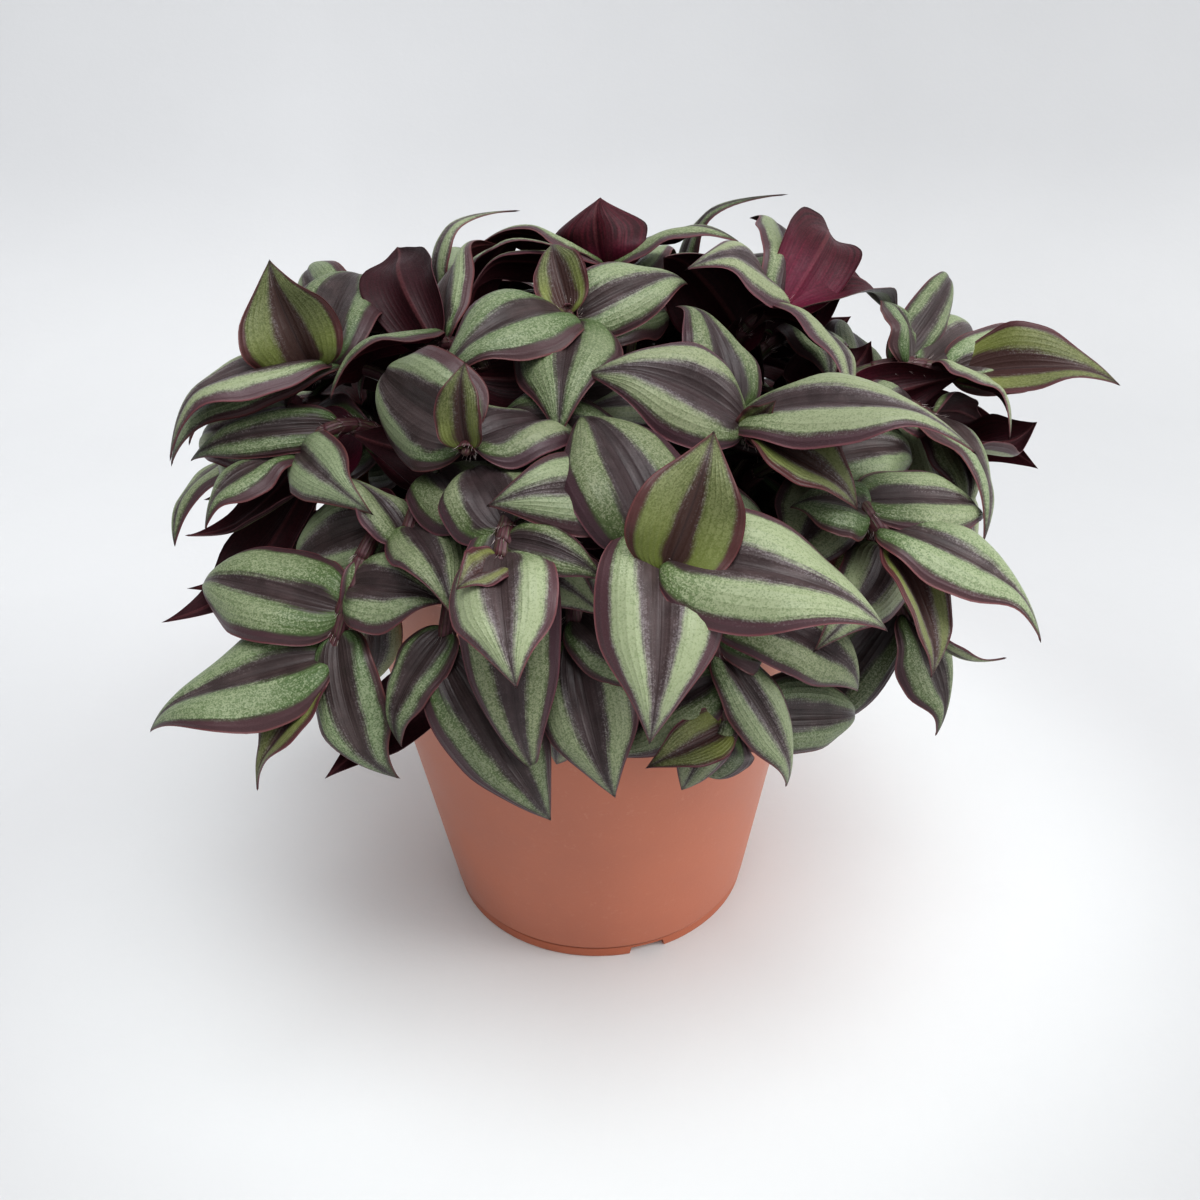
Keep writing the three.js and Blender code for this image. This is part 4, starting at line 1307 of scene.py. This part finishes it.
def ring_shoots():
    """Stems at the back and the crown, which follow a rule."""
    shoots = []
    for r, ring in enumerate(RINGS):
        for i in range(ring["count"]):
            degrees = mix(ring["from"], ring["to"], i / (ring["count"] - 1))
            heading = math.radians(degrees + spread(6, 1, r, i))
            reach = ring["reach"] + spread(6, 2, r, i)
            height = ring["height"] + spread(7, 3, r, i)
            out = (math.cos(heading), math.sin(heading))
            shoots.append({
                "root": (ring["rooted"] * out[0], ring["rooted"] * out[1]),
                "apex": (reach * out[0], reach * out[1], height),
                "leaves": RING_LEAVES,
            })
    return shoots


def splayed(tangent, degrees, hand, rise):
    """A direction at an angle to the stem, to its left or right, that rises or falls a little."""
    aside = unit(np.cross(UP, tangent)) * hand
    angle = math.radians(degrees)
    return unit(tangent * math.cos(angle) + aside * math.sin(angle) + UP * rise)


def ruled_tip(plan, base, tangent, keys):
    """Where a ruled leaf's point lies: aside from the stem and level with it or a little below."""
    hand = 1 if sum(keys) % 2 else -1
    degrees = plan["spread"] + spread(12, 4, *keys)
    rise = spread(0.25, 5, *keys) + (0.5 if plan.get("young") else 0.05)
    return base + splayed(tangent, degrees, hand, rise) * plan["length"] * (1 + spread(0.08, 6, *keys))


def modelled_leaf(path, plan, keys, finder):
    """A leaf that the construction model has, in the place that it took there."""
    base = path.point(plan["at"])
    if "tip" in plan:
        tip = np.array(plan["tip"], float)
        corners = FULL_CORNERS if plan["width"] > FULL_WIDTH else SMALL_CORNERS
    else:
        tip = ruled_tip(plan, base, path.tangent(plan["at"]), keys)
        corners = FILLING_CORNERS
    return as_modelled(grown(plan, base, tip, keys), corners, finder)


def planned_shoots():
    """Every stem with its path and all its leaves, those of the construction model first."""
    shoots = []
    for index, given in enumerate(PLACED_SHOOTS + ring_shoots()):
        node = f"shoot_{index + 1:02d}"
        path = StemPath(given["root"], given["apex"])
        plans = list(given["leaves"])
        if len(plans) < FULL_STEM:
            plans.append(SHADE_LEAF)
        finder = vertex_finder(node)
        leaves = [modelled_leaf(path, plan, (index, order), finder) for order, plan in enumerate(plans)]
        shoots.append({"node": node, "path": path, "leaves": leaves})
    others = [pot_test()] + [test_blade(plan) for shoot in shoots for plan in shoot["leaves"]]
    add_sheltered_leaves(shoots, others)
    add_inner_leaves(shoots, others)
    return shoots


def test_surface(points, faces):
    points = np.array(points)
    tree = BVHTree.FromPolygons(points.tolist(), faces)
    return {"tree": tree, "low": points.min(axis=0), "high": points.max(axis=0)}


def test_blade(plan):
    """A light copy of a blade's middle surface, to find whether it crosses another."""
    u, v = np.meshgrid(TEST_ALONG, TEST_ACROSS, indexing="ij")
    points = blade_point(plan, u, v, 1.0).reshape(-1, 3)
    return test_surface(points, grid_faces(len(TEST_ALONG), len(TEST_ACROSS)))


def pot_test():
    """The pot's wall and soil as a plain turned shape, for the same test."""
    top = wall_radius(POT_HEIGHT)
    profile = [
        (0.5, SOIL_TOP + SOIL_CROWN),
        (wall_radius(SOIL_TOP) - 2, SOIL_TOP),
        (top, POT_HEIGHT + 1),
        (top + 2.5, POT_HEIGHT + 1),
        (wall_radius(80) + 2, 80),
    ]
    sides = 40
    turns = TAU * np.arange(sides) / sides
    points = [(r * math.cos(turn), r * math.sin(turn), z) for r, z in profile for turn in turns]
    return test_surface(points, grid_faces(len(profile), sides, closed=True))


def finds_room(plan, others):
    """Whether the leaf crosses none of the others; it then counts among them."""
    test = test_blade(plan)
    for other in others:
        near = np.all(test["low"] <= other["high"]) and np.all(other["low"] <= test["high"])
        if near and test["tree"].overlap(other["tree"]):
            return False
    others.append(test)
    return True


def add_sheltered_leaves(shoots, others):
    """Leaves behind the outer ones, each with the mildest bend that keeps it clear."""
    for number, plans in SHELTERED_LEAVES.items():
        shoot = shoots[number - 1]
        for order, plan in enumerate(plans):
            base = shoot["path"].point(plan["at"])
            tip = np.array(plan["tip"], float)
            straight = grown(plan, base, tip, (number - 1, SHELTERED_FROM + order))
            for bend in BENDS:
                plan = bent(straight, bend)
                if finds_room(plan, others):
                    shoot["leaves"].append(plan)
                    break


def inner_leaf(path, index, order, at, others):
    """An older leaf lower on a stem, turned to the first side where it crosses no other, or None."""
    base = path.point(at)
    for attempt in range(INNER_TRIES):
        keys = (index, order, attempt)
        hand = 1 if sum(keys) % 2 else -1
        length = mix(30, 46, draw(81, *keys))
        degrees = mix(45, 120, draw(82, *keys))
        rise = mix(-0.55, 0.35, draw(83, *keys))
        tip = base + splayed(path.tangent(at), degrees, hand, rise) * length
        turn = spread(40, 85, *keys) + (180 if draw(87, index, order) < INNER_TURNED else 0)
        plan = leaf(at, tip, mix(17, 22, draw(84, *keys)), turn=turn, hook=0.12, arch=0.12, inner=True)
        plan = dict(grown(plan, base, tip, keys), keys=(index, order))
        if inside_plant(tip) and inside_plant((base + tip) / 2) and finds_room(plan, others):
            return plan
    return None


def inside_plant(place):
    """Whether a place lies well inside the canopy and clear of the pot."""
    out = np.hypot(place[0], place[1])
    height = (place[2] - CANOPY_MIDDLE) / CANOPY_HALF_HEIGHT
    deep = (out / CANOPY_RADIUS) ** 2 + height**2 < 0.64
    off_pot = place[2] > SOIL_TOP + 8 or out > wall_radius(SOIL_TOP) + 6
    return bool(deep and off_pot and place[2] > INNER_LOWEST)


def add_inner_leaves(shoots, others):
    """Older leaves on the stems' lower joints, which fill the shade between the outer leaves."""
    for index, shoot in enumerate(shoots):
        lowest = min(plan["at"] for plan in shoot["leaves"] if plan["keys"][1] < INNER_FROM)
        for order, at in enumerate(INNER_PLACES):
            if at > max(lowest - 0.03, 0.5):
                continue
            at += spread(0.02, 86, index, order)
            plan = inner_leaf(shoot["path"], index, INNER_FROM + order, at, others)
            if plan:
                shoot["leaves"].append(plan)


def depth_in_shade(plan):
    """How deep a leaf lies inside the plant, which sets its painted shade: 0 outside, 1 deep inside."""
    middle = plan["base"] + plan["axes"]["along"] * plan["axes"]["length"] / 2
    out = np.hypot(middle[0], middle[1])
    outermost = max(out / 95, (middle[2] - 110) / 80)
    deep = np.clip(1.25 - outermost - 0.15 * draw(74, *plan["keys"]), 0, 1)
    low = np.clip((126 - middle[2]) / 30, 0, 0.7) * np.clip((CANOPY_RADIUS - out) / 26, 0.2, 1)
    inner = INNER_SHADE if plan.get("inner") else 0
    return float(min(max(deep, low) + inner, 1))


def stripe_values(plan, looks, u, v):
    """What a blade's stripes are drawn from: its length, and distances across it in millimetres."""
    half_width = 0.5 * plan["width"] * plan["axes"]["length"] / plan["span"]
    local = half_width * outline(u)
    off_midrib = np.abs(v) * local
    wide = (0.65 + 0.7 * draw(71, *plan["keys"])) * plan.get("stripe", 1)
    bold = 0.75 + 0.6 * draw(72, *plan["keys"])
    midrib = half_width * looks.midrib_share * wide * (1.02 - u**1.9) * (0.35 + 0.65 * smooth(u / 0.14))
    margin = half_width * looks.margin_share * bold * (0.25 + 0.75 * np.sin(math.pi * u**0.85) ** 0.8)
    margin = margin * (1 - 0.4 * u * u)
    return {
        "u": u,
        "v": np.abs(v),
        "along": u,
        "off_midrib": off_midrib,
        "from_midrib": off_midrib - midrib,
        "from_margin": local - off_midrib - margin,
        "from_edge": local - off_midrib,
    }


def leaf_surface(sheet, plan, looks):
    """One blade: two curved faces that meet in a thin rim, with what its stripes are drawn from."""
    plan = dict(plan, ripple=looks.ripple / MM)
    across = np.array([-v for v in ACROSS[:0:-1]] + ACROSS)
    t = np.linspace(0, 1, LEAF_STEPS + 1)
    stations = (t - 0.6 * np.sin(TAU * t) / TAU) ** 1.3
    u, v = np.meshgrid(stations[1:-1], across, indexing="ij")
    rows, columns = u.shape
    count = rows * columns
    middle = blade_point(plan, u, v, 1.0)
    normal = blade_normal(plan, u, v, 1.0)
    ends = np.array([0.0, 1.0])
    end_points = blade_point(plan, ends, 0.0, 1.0)

    end_values = {key: np.full(2, value) for key, value in END_VALUES.items()}
    end_values.update(u=ends, along=ends)
    values = {
        key: np.concatenate([value.ravel(), end_values[key]])
        for key, value in stripe_values(plan, looks, u, v).items()
    }
    # The shade value says how much painted shade the blade's colour gets.
    values.update(young=float(plan["young"]), tone=draw(73, *plan["keys"]), shade=depth_in_shade(plan))

    faces = grid_faces(rows, columns)
    for k in range(columns - 1):
        last = count - columns + k
        faces += [(count, k, k + 1), (count + 1, last + 1, last)]
    half = 0.5 * looks.thickness / MM * (1 - 0.72 * v**4) * (1 - 0.4 * u)
    keel = 0.28 * np.exp(-((v / 0.07) ** 2)) * (1 - 0.7 * u)
    up, under = (UNDER_FINISH, UPPER_FINISH) if plan.get("reversed") else (UPPER_FINISH, UNDER_FINISH)
    upper = sheet.count
    lower = upper + count + 2
    for lift, outward, finish in (
        (half, [face[::-1] for face in faces], up),
        (-(half + keel), faces, under),
    ):
        points = np.vstack([(middle + normal * lift[..., None]).reshape(-1, 3), end_points])
        sheet.add(points, outward, finish, **values)

    left = [k * columns for k in range(rows)]
    right = [k * columns + columns - 1 for k in range(rows)]
    rim = [*left, count + 1, *right[::-1], count]
    sides = [(upper + a, upper + b, lower + b, lower + a) for a, b in zip(rim, rim[1:] + rim[:1])]
    sheet.join(sides, UPPER_FINISH)


# ---- settings ----


def length_setting(name, description, default):
    return FloatProperty(name=name, description=description, default=default, unit="LENGTH", precision=5)


def colour_setting(name, description, default):
    return FloatVectorProperty(
        name=name, description=description, default=default, subtype="COLOR", size=3, min=0, max=1
    )


class PotLooks(bpy.types.PropertyGroup):
    """Sizes and colours of the pot"""

    pot_sides: IntProperty(name="Sides", description="Steps round the turned pot", default=180, min=48)
    rim_height: length_setting("Rim height", "Height of the band round the pot's mouth", 0.006)
    rim_width: length_setting("Rim width", "How far the band stands out from the wall", 0.0016)
    foot_height: length_setting("Foot height", "Height of the ring that the pot stands on", 0.0034)
    notch_width: length_setting("Notch width", "Width of each notch in the foot ring", 0.010)
    notch_height: length_setting("Notch height", "Height of each notch in the foot ring", 0.0026)
    body: colour_setting("Body", "Colour of the plastic", (0.53, 0.18, 0.104))
    shade: colour_setting("Clouding", "Second colour that the plastic clouds into", (0.48, 0.16, 0.093))
    dust: colour_setting("Dust", "Colour of dust and rubbed edges", (0.66, 0.36, 0.27))
    ring: colour_setting("Foot ring", "Colour of the bare plastic of the foot ring", (0.48, 0.135, 0.06))
    # This colour is painted shade in the groove above the ring.
    groove_shade: colour_setting("Groove shade", "Colour of the shading in the groove above the ring", (0.12, 0.045, 0.028))
    speck: colour_setting("Specks", "Colour of a few dark specks", (0.09, 0.04, 0.03))


class SoilLooks(bpy.types.PropertyGroup):
    """Sizes and colours of the soil"""

    crumbs: IntProperty(name="Crumbs", description="Loose crumbs on the soil", default=900, min=0)
    clod_height: length_setting("Clod height", "How high the soil's clods stand", 0.0025)
    peat: colour_setting("Peat", "Colour of the moist peat", (0.022, 0.014, 0.010))
    bark: colour_setting("Bark", "Colour of bark and dry fibres", (0.085, 0.052, 0.034))
    perlite: colour_setting("Perlite", "Darker colour of the perlite", (0.42, 0.39, 0.34))
    pale_perlite: colour_setting("Pale perlite", "Paler colour of the perlite", (0.66, 0.63, 0.57))


class LeafLooks(bpy.types.PropertyGroup):
    """Sizes and colours of the leaves and stems"""

    thickness: length_setting("Thickness", "Thickness of a blade at its middle", 0.00055)
    ripple: length_setting("Ripple", "How far a blade's margin waves", 0.0003)
    pearl_size: length_setting("Pearl size", "Size of the pearly specks", 0.00027)
    sheath_length: length_setting("Sheath length", "Length of a leaf's sheath", 0.006)
    hair_length: length_setting("Hair length", "Length of the hairs at a sheath's mouth", 0.0018)
    hairs: IntProperty(name="Hairs", description="Hairs at each sheath's mouth", default=16, min=0)
    veins: FloatProperty(name="Veins", description="Long veins on each half of a blade", default=8.0, min=1)
    midrib_share: FloatProperty(name="Midrib band", description="Its share of half the blade", default=0.42)
    margin_share: FloatProperty(name="Margin band", description="Its share of half the blade", default=0.2)
    silver: colour_setting("Silver", "Pale specks of the bands", (0.375, 0.425, 0.26))
    pewter: colour_setting("Pewter", "Pale specks over the purple", (0.25, 0.215, 0.22))
    green: colour_setting("Green", "Green between the specks", (0.105, 0.165, 0.055))
    plum: colour_setting("Plum", "Darkest purple of the midrib band", (0.056, 0.036, 0.036))
    mauve: colour_setting("Mauve", "Lighter purple of the midrib band", (0.108, 0.072, 0.072))
    margin: colour_setting("Margin", "Purple of the margins", (0.105, 0.052, 0.06))
    edge: colour_setting("Edge", "Russet line round the very edge", (0.20, 0.065, 0.07))
    maroon: colour_setting("Maroon", "Darker colour of the underside", (0.028, 0.006, 0.009))
    magenta: colour_setting("Magenta", "Lighter colour of the underside", (0.112, 0.014, 0.026))
    flush: colour_setting("Flush", "Bright pink near the foot of some undersides", (0.235, 0.022, 0.072))
    young_pale: colour_setting("Young pale", "Pale specks of young leaves", (0.25, 0.27, 0.12))
    young_green: colour_setting("Young green", "Green of young leaves", (0.10, 0.125, 0.032))
    young_glow: colour_setting("Young glow", "Fresh green near the foot of young leaves", (0.30, 0.34, 0.085))
    young_margin: colour_setting("Young margin", "Russet margin of young leaves", (0.105, 0.034, 0.034))
    young_midrib: colour_setting("Young midrib", "Midrib band of young leaves", (0.085, 0.042, 0.036))
    stem_green: colour_setting("Stem green", "Green of the stems", (0.09, 0.105, 0.045))
    stem_purple: colour_setting("Stem purple", "Purple flush of the stems", (0.07, 0.026, 0.036))
    stem_pink: colour_setting("Stem pink", "Pink of sheaths and growing tips", (0.105, 0.034, 0.042))
    hair: colour_setting("Hairs", "Darker colour of the hairs", (0.62, 0.5, 0.5))
    pale_hair: colour_setting("Pale hairs", "Paler colour of the hairs", (0.75, 0.68, 0.62))


class StageLooks(bpy.types.PropertyGroup):
    """The floor, the light and the camera"""

    # The floor colour round the pot is painted light, brighter and cooler than the paper farther off.
    paper: colour_setting("Paper", "Colour of the floor round the pot", (0.95, 0.975, 0.98))
    far_paper: colour_setting("Far paper", "Colour of the floor farther off", (0.72, 0.722, 0.73))
    wall_paper: colour_setting("Wall paper", "Colour of the backdrop", (0.625, 0.627, 0.638))
    key_power: FloatProperty(name="Key light", description="Power of the right light", default=11.5, min=0)
    top_power: FloatProperty(name="Top light", description="Power of the light overhead", default=9.0, min=0)
    sky_strength: FloatProperty(name="Sky", description="Strength of the brightest sky", default=0.85, min=0)
    sky_dim_side: FloatProperty(name="Dim side", description="Its share where it is dimmest", default=0.16)
    camera_height: length_setting("Camera height", "Height of the camera above the floor", 0.2604)
    camera_distance: length_setting("Camera distance", "Camera to the pot's axis, along the floor", 0.2857)
    camera_aside: length_setting("Camera aside", "Camera to the right of the pot's axis", 0.00208)


# ---- stage ----

PAPER_HALF_WIDTH = 2.2
PAPER_FRONT = -1.6
PAPER_BEND_START = 0.33
PAPER_BEND_RADIUS = 0.38
PAPER_TOP = 2.4
LIGHT_AIM = (0, 0, 0.1)
LIGHT_SIZE = 1.0
KEY_PLACE = (1.9, -0.45, 0.85)
KEY_TINT = (1.0, 0.99, 0.97)
TOP_PLACE = (0.15, -0.4, 1.3)
TOP_TINT = (0.97, 0.99, 1.0)
SKY_BRIGHTEST = (0.42, -0.1, 0.9)
SKY_TINT = (0.97, 0.985, 1.0)
CAMERA_PITCH = math.radians(30.57)
CAMERA_ROLL = math.radians(-1.59)
CAMERA_LENS = 36.0
CAMERA_SENSOR = 36.0


def build_backdrop(looks):
    """A sheet of paper that lies flat under the pot and sweeps up behind it."""
    section = [(PAPER_FRONT, 0.0), (0.0, 0.0)]
    for angle in np.linspace(0, math.pi / 2, 24):
        back = PAPER_BEND_START + PAPER_BEND_RADIUS * math.sin(angle)
        section.append((back, PAPER_BEND_RADIUS * (1 - math.cos(angle))))
    section.append((PAPER_BEND_START + PAPER_BEND_RADIUS, PAPER_TOP))
    points = [(x, y, z) for y, z in section for x in (-PAPER_HALF_WIDTH, PAPER_HALF_WIDTH)]
    mesh = bpy.data.meshes.new("paper_sweep")
    mesh.from_pydata(points, [], grid_faces(len(section), 2))
    mesh.polygons.foreach_set("use_smooth", [True] * len(mesh.polygons))
    mesh.materials.append(paper_material(looks))
    sweep = bpy.data.objects.new("paper_sweep", mesh)
    bpy.context.scene.collection.objects.link(sweep)


def add_area_light(name, place, power, tint):
    light = bpy.data.lights.new(name, "AREA")
    light.shape = "DISK"
    light.size = LIGHT_SIZE
    light.energy = power
    light.color = tint
    lamp = bpy.data.objects.new(name, light)
    lamp.location = place
    lamp.rotation_euler = (Vector(LIGHT_AIM) - Vector(place)).to_track_quat("-Z", "Y").to_euler()
    bpy.context.scene.collection.objects.link(lamp)


def build_lights(looks):
    """Even daylight, stronger from the upper right."""
    world = bpy.data.worlds.new("soft_sky")
    world.use_nodes = True
    bpy.context.scene.world = world
    sky = world.node_tree.nodes["Background"]
    nodes = Nodes(world.node_tree)
    toward = {0: nodes.add("TexCoord").outputs["Generated"], 1: SKY_BRIGHTEST}
    near = nodes.add("VectorMath", toward, operation="DOT_PRODUCT").outputs["Value"]
    dim = looks.sky_strength * looks.sky_dim_side
    nodes.feed(sky.inputs["Strength"], nodes.ramp(near, -0.15, 1.0, dim, looks.sky_strength))
    nodes.feed(sky.inputs["Color"], SKY_TINT)
    add_area_light("key_light", KEY_PLACE, looks.key_power, KEY_TINT)
    add_area_light("top_light", TOP_PLACE, looks.top_power, TOP_TINT)
    bpy.context.scene.view_settings.view_transform = "Standard"
    bpy.context.scene.view_settings.look = "Medium High Contrast"


def build_camera(looks):
    """The camera where the photograph was taken from."""
    data = bpy.data.cameras.new("camera")
    data.lens = CAMERA_LENS
    data.sensor_width = CAMERA_SENSOR
    data.clip_start = 0.01
    camera = bpy.data.objects.new("camera", data)
    place = POT_AXIS + [looks.camera_aside, -looks.camera_distance, looks.camera_height]
    aim = Matrix.Rotation(math.pi / 2 - CAMERA_PITCH, 4, "X") @ Matrix.Rotation(CAMERA_ROLL, 4, "Z")
    camera.matrix_world = Matrix.Translation(Vector(place)) @ aim
    bpy.context.scene.collection.objects.link(camera)
    bpy.context.scene.camera = camera


# ---- operators ----


class PLANT_OT_pot(bpy.types.Operator):
    """Builds the plastic pot with its foot ring, notches and drain holes"""

    bl_idname = "plant.pot"
    bl_label = "Build Pot"

    def execute(self, context):
        looks = context.scene.plant_pot
        piece = pot_mesh(looks).build("nursery_pot", [pot_material(looks)], ["pot"], "pot")
        cut_drains(piece)
        return {"FINISHED"}


class PLANT_OT_soil(bpy.types.Operator):
    """Builds the soil and the crumbs that lie on it"""

    bl_idname = "plant.soil"
    bl_label = "Build Soil"

    def execute(self, context):
        looks = context.scene.plant_soil
        peat = soil_material(looks)
        soil_plug(looks).build("soil_plug", [peat], ["soil"], "soil")
        soil_crumbs(looks).build("soil_crumbs", [peat, grit_material(looks)], ["soil"], "soil")
        return {"FINISHED"}


class PLANT_OT_foliage(bpy.types.Operator):
    """Builds every leafy stem: its stem with sheaths and hairs, and its leaves"""

    bl_idname = "plant.foliage"
    bl_label = "Build Foliage"

    def execute(self, context):
        looks = context.scene.plant_leaves
        skins = [stem_material(looks), sheath_material(looks), hair_material(looks)]
        blades = [leaf_upper_material(looks), leaf_under_material(looks)]
        for index, shoot in enumerate(planned_shoots()):
            stem = Sheet()
            foliage = Sheet()
            stem_surface(stem, shoot["path"], shoot["leaves"], index)
            for plan in shoot["leaves"]:
                sheath_surface(stem, shoot["path"], plan, looks)
                leaf_surface(foliage, plan, looks)
            number = shoot["node"][-2:]
            stem.build("stem_" + number, skins, [shoot["node"]], "foliage")
            foliage.build("leaves_" + number, blades, [shoot["node"]], "foliage")
        return {"FINISHED"}


class PLANT_OT_stage(bpy.types.Operator):
    """Builds the paper floor and backdrop, the soft light and the camera"""

    bl_idname = "plant.stage"
    bl_label = "Build Stage"

    def execute(self, context):
        looks = context.scene.plant_stage
        build_backdrop(looks)
        build_lights(looks)
        build_camera(looks)
        return {"FINISHED"}


class PLANT_PT_panel(bpy.types.Panel):
    """Lists the operators and their settings"""

    bl_idname = "PLANT_PT_panel"
    bl_label = "Potted Tradescantia"
    bl_space_type = "VIEW_3D"
    bl_region_type = "UI"
    bl_category = "Plant"

    def draw(self, context):
        for operator, group in STEPS:
            box = self.layout.box()
            box.operator(operator)
            settings = getattr(context.scene, group)
            for key in settings.__annotations__:
                box.prop(settings, key)


STEPS = [
    ("plant.pot", "plant_pot"),
    ("plant.soil", "plant_soil"),
    ("plant.foliage", "plant_leaves"),
    ("plant.stage", "plant_stage"),
]
SETTINGS = {
    "plant_pot": PotLooks,
    "plant_soil": SoilLooks,
    "plant_leaves": LeafLooks,
    "plant_stage": StageLooks,
}
CLASSES = (PLANT_OT_pot, PLANT_OT_soil, PLANT_OT_foliage, PLANT_OT_stage, PLANT_PT_panel)


def register():
    for group, looks in SETTINGS.items():
        bpy.utils.register_class(looks)
        setattr(bpy.types.Scene, group, PointerProperty(type=looks))
    for one in CLASSES:
        bpy.utils.register_class(one)


def unregister():
    for one in reversed(CLASSES):
        bpy.utils.unregister_class(one)
    for group, looks in SETTINGS.items():
        delattr(bpy.types.Scene, group)
        bpy.utils.unregister_class(looks)


def main():
    register()
    bpy.ops.plant.pot()
    bpy.ops.plant.soil()
    bpy.ops.plant.foliage()
    bpy.ops.plant.stage()


if __name__ == "__main__":
    main()
